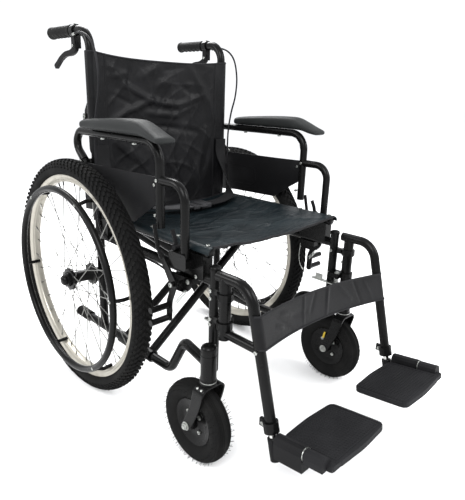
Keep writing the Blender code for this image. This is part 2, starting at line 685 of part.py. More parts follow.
def caster_fork(side):
    """Fork with its crown, stem and wheel bolt. The blades curve back to the axle."""
    name = side_name(side)
    x = side * CASTER_X
    deck = HOUSING_FOOT - GAP - FORK_CROWN
    seat_low = deck - 0.002
    base = disc(name + "_caster_fork", 0.0185, at(x, CASTER_Y, (HOUSING_FOOT - GAP + seat_low) / 2),
                (HOUSING_FOOT - GAP - seat_low) / 2, "Z", steps=12)
    stem_top = HOUSING_FOOT + STEM_REACH - 0.008
    stem = disc(name + "_stem", STEM_R, at(x, CASTER_Y, (stem_top + deck) / 2), (stem_top - deck) / 2,
                "Z", steps=12)
    blade_x = CASTER_WIDTH / 2 + FORK_WALL / 2 + 0.0045
    bridge = block(name + "_fork_bridge", (2 * blade_x + FORK_WALL - 0.0004, 0.034, FORK_DECK),
                   at(x, CASTER_Y + 0.006, deck - FORK_DECK / 2))
    pieces = [stem, bridge]
    back = CASTER_Y + CASTER_TRAIL
    outline = [(CASTER_Y - 0.010, deck - 0.0003), (CASTER_Y + 0.024, deck - 0.0003),
               (CASTER_Y + 0.032, deck - 0.032), (back + 0.013, CASTER_R + 0.020),
               (back + 0.011, CASTER_R - 0.010), (back - 0.011, CASTER_R - 0.010),
               (back - 0.016, CASTER_R + 0.022), (CASTER_Y - 0.004, deck - 0.030)]
    for number, offset in enumerate((-blade_x, blade_x)):
        pieces.append(slab(f"{name}_blade_{number}", rounded(outline, 0.010, 1), FORK_WALL,
                           side_plane(x + offset)))
    bolt_half = blade_x + FORK_WALL / 2 + 0.005
    pieces.append(disc(name + "_caster_bolt", CASTER_BOLT_R, caster_axle(side), bolt_half, steps=10))
    for number, offset in enumerate((-bolt_half + 0.0025, bolt_half - 0.0025)):
        pieces.append(disc(f"{name}_caster_nut_{number}", 0.0085,
                           caster_axle(side) + Vector((offset, 0, 0)), 0.0025, steps=6))
    return combine(base, pieces)


def caster_tyre(side):
    profile = ring_section(CASTER_R, 0, CASTER_WIDTH / 2, CASTER_R - CASTER_RIM_R - GAP, 0.42)
    return lathe(side_name(side) + "_caster_tyre", profile, caster_axle(side), "X", TYRE_RUBBER, CASTER_STEPS,
                 closed=True)


def caster_rim(side):
    """Two-part pressed rim: dished faces round a central bush."""
    half = CASTER_WIDTH / 2
    bore = CASTER_BOLT_R + PIN_CLEARANCE
    face = [(bore, half + 0.003), (0.013, half + 0.003), (0.015, half * 0.36), (0.038, half * 0.36),
            (CASTER_RIM_R, half * 0.55)]
    profile = face + [(r, -h) for r, h in reversed(face)]
    return lathe(side_name(side) + "_caster_rim", profile, caster_axle(side), "X", BLACK_PAINT, CASTER_STEPS,
                 closed=True)


# ---------------------------------------------------------------- cross brace and seat rails
def brace(side, offset):
    """Half of the cross brace: sleeve on one lower rail, two tubes, the other side's seat rail."""
    name = "brace_" + ("a" if side > 0 else "b")
    low = -side * FRAME_X
    high = side * FRAME_X
    base = tube(name, [at(high, SEAT_RAIL_REAR, SEAT_RAIL_Z), at(high, SEAT_RAIL_FRONT, SEAT_RAIL_Z)],
                TUBE_R - GAP)
    cap = lathe(name + "_rail_cap", [(0, 0.006), (TUBE_R - 0.001, 0.005), (TUBE_R + 0.0001, 0.003),
                (TUBE_R + 0.0001, -0.008), (0, -0.008)],
                at(high, SEAT_RAIL_FRONT, SEAT_RAIL_Z), "-Y", steps=12)
    planes = [plane + offset for plane in BRACE_PLANES]
    sleeve_r = TUBE_R + SLEEVE_CLEARANCE + SLEEVE_WALL
    middle = (planes[0] + planes[1]) / 2
    reach = (planes[1] - planes[0]) / 2 + BRACE_TUBE_R + 0.004
    sleeve = disc(name + "_sleeve", sleeve_r, at(low, middle, BRACE_PIVOT_Z), reach, "Y", steps=16)
    bars = [tube(f"{name}_bar_{k}", [at(low, plane, BRACE_PIVOT_Z), at(high, plane, SEAT_RAIL_Z)],
                 BRACE_TUBE_R) for k, plane in enumerate(planes)]
    combine(base, [cap, sleeve] + bars)
    cuts = [disc(name + "_sleeve_bore", TUBE_R + SLEEVE_CLEARANCE, at(low, middle, BRACE_PIVOT_Z),
                 reach + 0.01, "Y", steps=16, tool=True),
            disc(name + "_bolt_bore", CROSS_BOLT_R + PIN_CLEARANCE, brace_centre(), 0.20,
                 "Y", steps=12, tool=True)]
    return combine(base, cuts, "DIFFERENCE")


def brace_centre():
    planes = BRACE_PLANES[0] + BRACE_PLANES[1] + BRACE_STEP
    return at(0, planes / 2, (BRACE_PIVOT_Z + SEAT_RAIL_Z) / 2)


def cross_bolt():
    """Long bolt through both crossings, with a head and a nut."""
    half = (BRACE_PLANES[1] - BRACE_PLANES[0]) / 2 + 2 * BRACE_TUBE_R + BRACE_PAIR_GAP / 2 + GAP
    profile = [(0, half + 0.006), (0.0085, half + 0.005), (0.0085, half), (CROSS_BOLT_R, half),
               (CROSS_BOLT_R, -half), (0.0085, -half), (0.0085, -half - 0.006), (0, -half - 0.006)]
    return lathe("cross_bolt", profile, brace_centre(), "Y", ZINC, 12)


# ---------------------------------------------------------------- leg rests
def leg_direction():
    return Vector((0, LEG_END_Y - LEG_TOP_Y, LEG_END_Z - HANGER_TOP)).normalized()


def leg_rest(side):
    """Swing-away hanger: pivot tube, bent top tube and strut, down to the rod clamp."""
    name = side_name(side)
    x = side * HANGER_X
    down = leg_direction()
    end = at(x, LEG_END_Y, LEG_END_Z)
    base = tube(name + "_leg_rest", [at(x, HANGER_Y, HANGER_FOOT), at(x, HANGER_Y, HANGER_TOP)],
                HANGER_TUBE_R, sides=12)
    bend = route([at(x, HANGER_Y + 0.020, HANGER_TOP), at(x, LEG_TOP_Y, HANGER_TOP), end], [0.046], 6)
    top = tube(name + "_leg_tube", bend, TUBE_R)
    strut_y = LEG_TOP_Y + (STRUT_Z - HANGER_TOP) * down.y / down.z
    strut = tube(name + "_leg_strut", [at(x, HANGER_Y, STRUT_Z), at(x, strut_y, STRUT_Z)], STRUT_R)
    clamp = tube(name + "_leg_clamp", [end - down * 0.016, end + down * 0.005], TUBE_R + 0.0045, sides=12)
    ear = block(name + "_clamp_ear", (0.007, 0.018, 0.017), end - down * 0.006
                + Vector((side * 0.002, 0.017, 0)))
    combine(base, [top, strut, clamp, ear])
    bore = tube(name + "_leg_bore", [end - down * (ROD_INSIDE + 0.010), end + down * 0.03],
                LEG_BORE_R, sides=12, tool=True)
    return combine(base, [bore], "DIFFERENCE")


def leg_latch(side):
    """Release lever of the leg rest: flat steel with an upturned thumb tab."""
    name = side_name(side)
    x = LATCH_X - 0.002
    plate = rounded([(x - 0.006, -0.400), (x + 0.005, -0.400), (x + 0.005, -0.470), (x + 0.012, -0.488),
                     (x + 0.002, -0.492), (x - 0.007, -0.470)], 0.004, 2)
    base = slab(name + "_leg_latch", [(side * px, py) for px, py in plate], LATCH_THICK,
                Matrix.Translation((0, AXLE_Y, LATCH_Z)), ZINC)
    tab = block(name + "_latch_tab", (0.0025, 0.022, 0.018),
                at(side * (x - 0.0045), -0.424, LATCH_Z + 0.0085),
                ZINC)
    top = COLLAR_LEVELS[0] + 0.002
    stud = disc(name + "_latch_stud", LATCH_STUD_R, at(side * LATCH_X, LATCH_Y, (LATCH_Z + top) / 2),
                (top - LATCH_Z) / 2, "Z", ZINC, 10)
    return combine(base, [tab, stud])


def rod_end(side):
    return at(side * HANGER_X, LEG_END_Y, LEG_END_Z) + leg_direction() * ROD_END


def foot_rod(side):
    start = at(side * HANGER_X, LEG_END_Y, LEG_END_Z) - leg_direction() * ROD_INSIDE
    return tube(side_name(side) + "_foot_rod", [start, rod_end(side)], ROD_R, CHROME, sides=12)


def plate_frame():
    """Local frame of the foot plate: toes up, y runs back from the hinge block's rear face."""
    return (Matrix.Translation(at(0, PLATE_REAR_Y, PLATE_REAR_Z))
            @ Matrix.Rotation(-PLATE_TILT, 4, "X"))


def hinge_x(side):
    return side * (PLATE_OUTER_X + HINGE_BLOCK_WIDTH / 2 + 0.0005)


def hinge_section(name, width, top, foot, y_from, y_to, side, material, tool=False):
    """Bar along the foot plate's hinge with a half-round top, standing down to foot."""
    half = width / 2
    arc = [(half * math.cos(math.pi * k / 6), top + half * math.sin(math.pi * k / 6)) for k in range(7)]
    outline = [(half, foot)] + arc + [(-half, foot)]
    turn = Matrix(((1, 0, 0, hinge_x(side)), (0, 0, -1, (y_from + y_to) / 2), (0, 1, 0, 0), (0, 0, 0, 1)))
    return slab(name, outline, abs(y_to - y_from), plate_frame() @ turn, material, tool)


def hinge_block(side):
    """Moulded hinge housing that sleeves the rod's end and carries the plate's hinge pin."""
    name = side_name(side)
    base = hinge_section(name + "_hinge_block", HINGE_BLOCK_WIDTH - 0.0006, HINGE_RISE,
                         -HINGE_BLOCK_DROP, -HINGE_BLOCK_REAR, -HINGE_BLOCK_LENGTH, side, BLACK_PLASTIC)
    down = leg_direction()
    sleeve = tube(name + "_rod_sleeve", [rod_end(side) - down * 0.042, rod_end(side) + down * 0.004],
                  ROD_R + 0.0042, BLACK_PLASTIC, sides=12)
    lug = block(name + "_rod_lug", (0.018, 0.026, 0.020), rod_end(side) - down * 0.026 - Vector((0, 0.011, 0)),
                BLACK_PLASTIC)
    combine(base, [sleeve, lug])
    bore = tube(name + "_rod_bore", [rod_end(side) - down * 0.09, rod_end(side) + down * GAP],
                ROD_R + GAP, sides=12, tool=True)
    pin_bore = hinge_pin(name + "_pin_bore", PLATE_PIN_R + PIN_CLEARANCE, side, 0.012, True)
    return combine(base, [bore, pin_bore], "DIFFERENCE")


def hinge_pin(name, radius, side, overrun, tool):
    points = [plate_frame() @ Vector((hinge_x(side), y, HINGE_RISE))
              for y in (-PLATE_PIN_REAR + overrun, -HINGE_BLOCK_LENGTH - 0.010)]
    return tube(name, points, radius, BLACK_PLASTIC, sides=10, tool=tool)


def foot_plate(side):
    """Moulded plate with a hinge ear at its outer edge and pockets underneath."""
    name = side_name(side)
    rear, front = -0.0035, -PLATE_LENGTH
    ear_rear = -HINGE_BLOCK_LENGTH - 0.0015
    ear_front = front + 0.012
    outer, inner = PLATE_OUTER_X - 0.0008, PLATE_OUTER_X - PLATE_WIDTH
    middle = (outer + inner) / 2
    outline = [(outer, rear), (outer, front), (middle, front - PLATE_BULGE), (inner, front),
               (inner, rear), (middle, rear + PLATE_BULGE)]
    curve = rounded([(side * px, py) for px, py in outline], 0.014, 3)
    frame = plate_frame() @ Matrix.Translation((0, 0, -PLATE_THICK / 2))
    base = slab(name + "_foot_plate", curve, PLATE_THICK, frame, GREY_PLASTIC)
    ear = hinge_section(name + "_plate_ear", 2 * HINGE_BAR_R, HINGE_RISE, -PLATE_THICK + 0.0006,
                        ear_rear, ear_front, side, GREY_PLASTIC)
    pin = hinge_pin(name + "_plate_pin", PLATE_PIN_R, side, 0, False)
    root_x, edge_x = outer - 0.030, abs(hinge_x(side))
    edge = [(root_x, ear_rear), (edge_x, ear_rear), (edge_x, front), (root_x, front)]
    wing = slab(name + "_plate_wing", rounded([(side * px, py) for px, py in edge], 0.006, 2),
                PLATE_THICK - 0.0008, frame, GREY_PLASTIC)
    combine(base, [wing, ear, pin])
    pockets = []
    wide = (PLATE_WIDTH - 0.030) / 2
    long = (PLATE_LENGTH - 0.030) / 2
    for column in (0, 1):
        for row in (0, 1):
            pocket = block(f"{name}_pocket_{column}{row}", (wide - 0.005, long - 0.005, PLATE_THICK),
                           (0, 0, 0), tool=True)
            pocket.matrix_world = frame @ Matrix.Translation(
                (side * (inner + 0.012 + wide / 2 + column * wide), front + 0.015 + long / 2 + row * long,
                 -PLATE_FLOOR))
            pockets.append(pocket)
    return combine(base, pockets, "DIFFERENCE")


# ---------------------------------------------------------------- arm rests
def arm_frame(side):
    """One bent tube under the pad, the open leg and the loop that drops into the saddle."""
    name = side_name(side)
    x = side * ARM_X
    main = route([at(x, ARM_PIVOT_Y - 0.002, ARM_PIVOT_Z - 0.012), at(x, ARM_PIVOT_Y, ARM_PIVOT_Z),
                  at(x, ARM_REAR_Y, ARM_TOP_Z - 0.035), at(x, 0.020, ARM_TOP_Z),
                  at(x, ARM_LEG_Y, ARM_TOP_Z), at(x, ARM_LEG_Y, ARM_LEG_FOOT)],
                 [0.020, 0.026, 0.024, 0.044], 3)
    base = tube(name + "_arm_frame", main, ARM_R)
    loop = route([at(x, ARM_LEG_Y, ARM_LOOP_TOP), at(x, ARM_LOOP_Y, ARM_LOOP_TOP),
                  at(x, ARM_LOOP_Y, ARM_LOOP_FOOT)], [0.036], 4)
    combine(base, [tube(name + "_arm_loop", loop, ARM_R - GAP)])
    bore = disc(name + "_arm_bore", ARM_PIN_R + PIN_CLEARANCE, at(x, ARM_PIVOT_Y, ARM_PIVOT_Z), 0.02,
                steps=12, tool=True)
    return combine(base, [bore], "DIFFERENCE")


def arm_pad(side):
    """Moulded pad with a crowned top and a front end that slopes down."""
    foot = ARM_TOP_Z + ARM_R + GAP
    outline = [(PAD_REAR_Y, foot), (PAD_REAR_Y + 0.004, foot + 0.010), (PAD_REAR_Y - 0.004, foot + 0.020),
               (PAD_REAR_Y - 0.070, foot + PAD_DEPTH * 0.82), (-0.190, foot + PAD_DEPTH),
               (PAD_BEND_Y + 0.010, foot + PAD_DEPTH * 1.02), (PAD_BEND_Y - 0.012, foot + PAD_DEPTH * 0.88),
               (PAD_TIP_Y + 0.004, foot - 0.001), (PAD_TIP_Y, foot - 0.006),
               (PAD_TIP_Y + 0.008, foot - 0.010),
               (-0.318, foot - 0.006), (-0.290, foot)]
    pad = slab(side_name(side) + "_arm_pad", outline, PAD_WIDTH, side_plane(side * PAD_X), GREY_PLASTIC)
    bevel = pad.modifiers.new("soft_edges", "BEVEL")
    bevel.width = 0.0045
    bevel.segments = 2
    bevel.limit_method = "ANGLE"
    bevel.angle_limit = math.radians(60)
    return pad


def side_panel(side):
    """Skirt guard with a cut lower front corner and a pressed rectangle."""
    front = ARM_LEG_Y + ARM_R + GAP
    outline = [(PANEL_REAR_Y, PANEL_FOOT), (PANEL_REAR_Y, PANEL_TOP), (front, PANEL_TOP + 0.004),
               (front, 0.546), (front + 0.034, 0.526), (-0.208, PANEL_FOOT + 0.002)]
    name = side_name(side)
    base = slab(name + "_side_panel", rounded(outline, 0.006, 2), PANEL_THICK, side_plane(side * ARM_X),
                BLACK_PLASTIC)
    press = rounded([(-0.070, 0.508), (-0.070, 0.568), (-0.136, 0.568), (-0.136, 0.508)], 0.014, 3)
    raised = slab(name + "_panel_press", press, 0.0024,
                  side_plane(side * (ARM_X - PANEL_THICK / 2 - 0.0006)), BLACK_PLASTIC)
    return combine(base, [raised])


def arm_latch(side):
    """Small lever behind the arm loop that frees the arm."""
    x = side * ARM_X
    foot = at(x, RELEASE_Y, RELEASE_Z)
    name = side_name(side)
    base = disc(name + "_arm_latch", 0.0065, foot, 0.0070, steps=12, material=BLACK_PLASTIC)
    blade = tube(name + "_latch_blade", [foot, at(x, -0.3535, 0.484), at(x, -0.3450, 0.501)], 0.0048,
                 BLACK_PLASTIC, FINE_SIDES)
    return combine(base, [blade])


# ---------------------------------------------------------------- wheel locks
def brake_mount(side):
    """Plate beside the upper rail with its foot under the rail and one long pin."""
    name = side_name(side)
    x_in = BRAKE_PLATE_X - BRAKE_PLATE / 2
    outline = rounded([(-0.395, 0.384), (-0.395, BRAKE_TOP), (-0.325, BRAKE_TOP), (-0.325, 0.372),
                       (-0.350, 0.365), (-0.380, 0.368)], 0.008, 3)
    base = slab(name + "_brake_mount", outline, BRAKE_PLATE, side_plane(side * BRAKE_PLATE_X))
    top = UPPER_RAIL_Z - TUBE_R
    foot = block(name + "_brake_foot", (x_in - 0.203, 0.050, 0.012),
                 at(side * (x_in + 0.0006 + 0.203) / 2, -0.365, top - 0.006))
    pin = lathe(name + "_brake_pin", [(0, BRAKE_PIN_END), (0.006, BRAKE_PIN_END - 0.001),
                (0.006, BRAKE_PIN_END - 0.0045), (BRAKE_PIN_R, BRAKE_PIN_END - 0.0045), (BRAKE_PIN_R, x_in),
                (0, x_in)], at(0, BRAKE_Y, BRAKE_Z), out(side), steps=10)
    bolt = disc(name + "_brake_bolt", 0.0065, at(side * (BRAKE_PLATE_X + 0.003), -0.338, 0.388), 0.0030,
                steps=6)
    return combine(base, [foot, pin, bolt])


def brake_shoe(side):
    """Hanging bar with the two cross bars that press on the tyre."""
    name = side_name(side)
    outline = rounded([(BRAKE_Y - 0.009, BRAKE_Z + 0.009), (BRAKE_Y + 0.009, BRAKE_Z + 0.009),
                       (SHOE_Y + 0.007, 0.342), (SHOE_Y + 0.007, SHOE_LEVELS[1] - 0.008),
                       (SHOE_Y - 0.008, SHOE_LEVELS[1] - 0.008), (SHOE_Y - 0.010, 0.345)], 0.006, 2)
    base = slab(name + "_brake_shoe", outline, 0.004, side_plane(side * SHOE_X))
    middle = (SHOE_X - 0.001 + SHOE_END) / 2
    bars = [disc(f"{name}_shoe_bar_{k}", SHOE_R, at(side * middle, SHOE_Y, level),
                 (SHOE_END - SHOE_X + 0.001) / 2, steps=12) for k, level in enumerate(SHOE_LEVELS)]
    combine(base, bars)
    return combine(base, [brake_bore(name + "_shoe_bore", side)], "DIFFERENCE")


def brake_bore(name, side):
    return disc(name, BRAKE_PIN_R + PIN_CLEARANCE, at(side * SHOE_X, BRAKE_Y, BRAKE_Z), 0.030, steps=12,
                tool=True)


def park_lever(side):
    """Hand lever of the wheel lock with a plastic tip."""
    name = side_name(side)
    x = side * LEVER_X
    knee, tip = (-0.319, 0.458), (-0.307, 0.508)
    outline = rounded([(BRAKE_Y - 0.008, BRAKE_Z - 0.009), (BRAKE_Y - 0.009, BRAKE_Z + 0.006),
                       (knee[0] - 0.006, knee[1]), (knee[0] + 0.005, knee[1] - 0.005),
                       (BRAKE_Y + 0.010, BRAKE_Z - 0.006)], 0.005, 2)
    base = slab(name + "_park_lever", outline, 0.004, side_plane(x - side * 0.0016))
    handle = tube(name + "_lever_handle", [at(x, knee[0] - 0.013, knee[1] - 0.018), at(x, *knee),
                  at(x, *tip)], LEVER_R, sides=FINE_SIDES)
    combine(base, [handle])
    return combine(base, [brake_bore(name + "_lever_bore", side)], "DIFFERENCE")


# ---------------------------------------------------------------- back canes
def cane(side):
    """Upper cane with its bent handle, hinge tongue and the brake lever's clamp."""
    name = side_name(side)
    x = side * FRAME_X
    path = route([at(x, 0, UPRIGHT_TOP + 2 * GAP), at(x, 0, CANE_TOP), at(x, GRIP_REAR_Y - 0.006, CANE_TOP)],
                 [0.045], 6)
    base = tube(name + "_cane", path, TUBE_R)
    outline = rounded([(0.006, CANE_PIVOT_Z + 0.006), (0.006, CANE_PIVOT_Z + 0.037),
                       (CANE_PIVOT_Y - 0.008, CANE_PIVOT_Z + 0.037),
                       (CANE_PIVOT_Y + 0.008, CANE_PIVOT_Z + 0.015),
                       (CANE_PIVOT_Y + 0.008, CANE_PIVOT_Z - 0.008),
                       (CANE_PIVOT_Y - 0.008, CANE_PIVOT_Z - 0.008),
                       (CANE_PIVOT_Y - 0.0075, CANE_PIVOT_Z + 0.006)], 0.004, 2)
    tongue = slab(name + "_hinge_tongue", outline, TONGUE, side_plane(x))
    clamp = tube(name + "_lever_clamp", [at(x, CLAMP_Y - 0.008, CANE_TOP - 0.0004),
                                         at(x, CLAMP_Y + 0.008, CANE_TOP - 0.0010)], CLAMP_R, sides=10)
    bracket = block(name + "_lever_bracket", (0.018, 0.0155, 0.030), at(x, CLAMP_Y, LEVER_PIVOT_Z + 0.009))
    combine(tongue, [disc(name + "_tongue_bore", HINGE_PIN_R + PIN_CLEARANCE,
                          at(x, CANE_PIVOT_Y, CANE_PIVOT_Z), 0.02, tool=True)], "DIFFERENCE")
    combine(bracket, [block(name + "_lever_slot", (LEVER_HUB + 2 * GAP, 0.030, 0.019),
                            at(x, CLAMP_Y, LEVER_PIVOT_Z - 0.0015), tool=True)], "DIFFERENCE")
    pin = disc(name + "_lever_pin", LEVER_PIN_R, at(x, CLAMP_Y, LEVER_PIVOT_Z), 0.0088, steps=10)
    return combine(base, [tongue, clamp, bracket, pin])


def grip(side):
    """Rubber sleeve with finger notches and a closed rear end."""
    notches = [(GRIP_R - (0.0014 if k % 2 else 0.0), GRIP_REAR_Y - 0.012 - 0.014 * k) for k in range(7)]
    bore = TUBE_R + 0.0008
    end = GRIP_REAR_Y - 0.006 + GAP
    profile = [(0, GRIP_REAR_Y + 0.002), (GRIP_R - 0.004, GRIP_REAR_Y + 0.002), (GRIP_R, GRIP_REAR_Y - 0.003)]
    profile += notches + [(GRIP_R, 0.082), (GRIP_R - 0.002, 0.079), (bore, 0.079), (bore, end), (0, end)]
    return lathe(side_name(side) + "_grip", profile, at(side * FRAME_X, 0, CANE_TOP), "Y", GRIP_RUBBER, 12)


def attendant_lever(side):
    """Bicycle-type brake lever that swings under the grip."""
    name = side_name(side)
    x = side * FRAME_X
    place = at(x, CLAMP_Y, LEVER_PIVOT_Z)
    base = disc(name + "_attendant_lever", 0.0060, place, LEVER_HUB / 2, steps=12, material=BLACK_PLASTIC)
    path = [place + Vector((0, ahead, -drop)) for ahead, drop in LEVER_CURVE]
    blade = tube(name + "_lever_blade", path, LEVER_HUB / 2 - GAP, BLACK_PLASTIC, FINE_SIDES)
    paddle = tube(name + "_lever_paddle", path[2:], LEVER_PADDLE_R, BLACK_PLASTIC, FINE_SIDES)
    combine(base, [blade, paddle])
    return combine(base, [disc(name + "_blade_bore", LEVER_PIN_R + PIN_CLEARANCE, place, 0.01, steps=12,
                               tool=True)], "DIFFERENCE")


def brake_cable(side):
    """Cable from the lever clamp, looping ahead of the cane and down to the wheel lock."""
    corners = [(CABLE_X, 0.053, CANE_TOP - 0.010), (CABLE_X, 0.020, CANE_TOP - 0.007),
               (CABLE_X, -0.016, CANE_TOP - 0.018), (CABLE_X, -0.042, CANE_TOP - 0.044),
               (CABLE_X, -0.054, 0.815), (CABLE_X, -0.050, 0.765),
               (CABLE_X, -0.034, 0.715), (CABLE_X, -0.024, 0.660), (CABLE_X, -0.0225, 0.590),
               (CABLE_X + 0.001, -0.0225, 0.520), (CABLE_X + 0.003, -0.024, 0.455),
               (CABLE_X + 0.003, -0.050, 0.416), (CABLE_X + 0.003, -0.110, 0.409),
               (CABLE_X + 0.002, -0.200, 0.406), (CABLE_X + 0.002, -0.270, 0.404),
               (CABLE_X + 0.002, -0.321, 0.396)]
    points = smooth_route([at(side * x, y, z) for x, y, z in corners], 28)
    return tube(side_name(side) + "_brake_cable", points, CABLE_R, BLACK_PLASTIC, FINE_SIDES)


# ---------------------------------------------------------------- cloth
def cloth(name, rows, material, thickness, offset=1.0):
    """A sheet through rows of points, given an even thickness."""
    work = bmesh.new()
    grid = [[work.verts.new(point) for point in row] for row in rows]
    for lower, upper in zip(grid, grid[1:]):
        for k in range(len(lower) - 1):
            work.faces.new((lower[k], lower[k + 1], upper[k + 1], upper[k]))
    mesh = bpy.data.meshes.new(name)
    work.to_mesh(mesh)
    work.free()
    item = mesh_object(name, mesh, material)
    solid = item.modifiers.new("cloth", "SOLIDIFY")
    solid.thickness = thickness
    solid.offset = offset
    solid.use_even_offset = True
    mesh.shade_smooth()
    return item


def wrap_points(centre, radius, first, last, count):
    """Points of an arc in a plane; angle 0 is straight ahead or up, growing outwards."""
    angles = [math.radians(first + (last - first) * k / (count - 1)) for k in range(count)]
    return [(centre[0] + radius * math.sin(a), centre[1] + radius * math.cos(a)) for a in angles]


def mirrored_section(half):
    """A section from the -X edge to the +X edge, given its +X half from the edge inwards."""
    return [(-u, v) for u, v in half] + [(u, v) for u, v in reversed(half) if u > 0.0001]


def seat_section(depth):
    """The seat's section at one depth: over the rails, sagging between them."""
    radius = TUBE_R + 0.0006
    half = wrap_points((FRAME_X, SEAT_RAIL_Z), radius, 92, 0, 5)
    top = SEAT_RAIL_Z + radius
    sag = 0.0140 - 0.0020 * depth
    spans = 9
    for k in range(1, spans + 1):
        u = FRAME_X * (1 - k / spans)
        shape = 1 - (u / FRAME_X) ** 2
        fold = 0.0016 * math.sin(61 * u + 9 * depth) * math.sin(math.pi * k / spans)
        half.append((u, top - sag * shape + fold * (0.3 + 0.7 * depth)))
    return mirrored_section(half)


def seat_sling():
    rows = []
    steps = 8
    for k in range(steps + 1):
        depth = k / steps
        y = SEAT_FRONT + (SEAT_REAR - SEAT_FRONT) * depth
        rows.append([at(u, y, v) for u, v in seat_section(depth)])
    return cloth("seat_sling", rows, SEAT_NYLON, CLOTH)


def back_section(height):
    """The back's section at one height: ahead of the canes, sagging to the rear."""
    radius = TUBE_R + BACK_CLEARANCE
    boss = min(1.0, max(0.0, 1.6 - abs(height - ARM_PIVOT_Z) / 0.020))
    half = wrap_points((FRAME_X, 0), radius, 118 - 68 * boss, 0, 5)
    t = (height - BACK_FOOT) / (BACK_TOP - BACK_FOOT)
    sag = 0.016 + 0.012 * math.sin(math.pi * t)
    spans = 8
    for k in range(1, spans + 1):
        u = FRAME_X * (1 - k / spans)
        shape = 1 - (u / FRAME_X) ** 2
        fold = 0.0018 * math.sin(48 * u + 21 * t) * math.sin(math.pi * k / spans)
        half.append((u, radius - sag * shape + fold))
    return mirrored_section(half)


def back_sling():
    rows = []
    offsets = (0.0360, 0.0250, 0.0185, 0.0120)
    around_boss = [ARM_PIVOT_Z - step for step in offsets]
    around_boss += [ARM_PIVOT_Z + step for step in reversed(offsets)]
    below = [BACK_FOOT, (BACK_FOOT + around_boss[0]) / 2]
    above = [around_boss[-1] + (BACK_TOP - around_boss[-1]) * k / 5 for k in range(1, 6)]
    for z in below + around_boss + above:
        droop = 0.006 * (z - BACK_FOOT) / (BACK_TOP - BACK_FOOT)
        row = []
        for u, ahead in back_section(z):
            dip = droop * (1 - min(1.0, abs(u) / FRAME_X) ** 4)
            row.append(at(u, -ahead, z - dip))
        rows.append(row)
    return cloth("back_sling", rows, NYLON, CLOTH)


def calf_strap():
    """Band behind the calves, hooked round both leg tubes and following their slope."""
    radius = TUBE_R + 0.0010
    down = leg_direction()
    rows = []
    for k in range(4):
        z = STRAP_FOOT + (STRAP_TOP - STRAP_FOOT) * k / 3
        tube_y = LEG_TOP_Y + (z - HANGER_TOP) * down.y / down.z
        half = wrap_points((HANGER_X, 0), radius, 82, -14, 5)
        start_u, start_v = half[-1]
        for j in range(1, 9):
            t = j / 8
            u = start_u * (1 - t)
            shape = 1 - (u / start_u) ** 2
            half.append((u, start_v - (start_v + STRAP_SAG) * shape ** 0.9))
        rows.append([at(u, tube_y - ahead, z) for u, ahead in mirrored_section(half)])
    return cloth("calf_strap", rows, NYLON, CLOTH)


def lap_belt():
    """Webbing from both uprights over the seat; it runs through the buckle's slot."""
    centre = [(-0.203, BELT_SEAT_Y, 0.640), (-0.201, BELT_SEAT_Y - 0.004, 0.585), (-0.192, -0.0460, 0.530),
              (-0.168, -0.0760, 0.496), (-0.120, -0.1100, 0.4860), (-0.075, -0.1300, 0.4830),
              (BUCKLE[0] - 0.033, *BUCKLE[1:]), (BUCKLE[0] + 0.033, *BUCKLE[1:]), (0.100, -0.1330, 0.4845),
              (0.150, -0.1130, 0.4920), (0.180, -0.0760, 0.512), (0.196, -0.0400, 0.555),
              (0.201, BELT_SEAT_Y - 0.003, 0.600), (0.203, BELT_SEAT_Y, 0.640)]
    across = [(1.0, 0.0, 0)] * 2 + [(0.80, -0.60, 0)] + [(0.35, -0.90, 0)] + [(0.0, -1.0, 0)] * 6 \
        + [(-0.55, -0.80, 0)] + [(-0.85, -0.50, 0)] + [(-1.0, 0.0, 0)] * 2
    rows = []
    points = smooth_route([at(*p) for p in centre], 28)
    widths = smooth_route(across, 28)
    for point, wide in zip(points, widths):
        reach = wide.normalized() * BELT_WIDTH / 2
        rows.append([point - reach, point + reach])
    return cloth("lap_belt", rows, WEBBING, BELT_THICK, 0.0)


def belt_buckle():
    """Side-release buckle body with the slot for the webbing."""
    base = block("belt_buckle", (0.060, BELT_WIDTH + 0.012, 0.014), at(*BUCKLE),
                 BUCKLE_PLASTIC, edge=0.003)
    slot = block("buckle_slot", (0.080, BELT_WIDTH + 0.0040, BELT_THICK + 0.0010),
                 at(*BUCKLE), tool=True)
    return combine(base, [slot], "DIFFERENCE")


# ---------------------------------------------------------------- assembly
def mount(items, parent):
    for item in items:
        if parent:
            hang(item, parent)


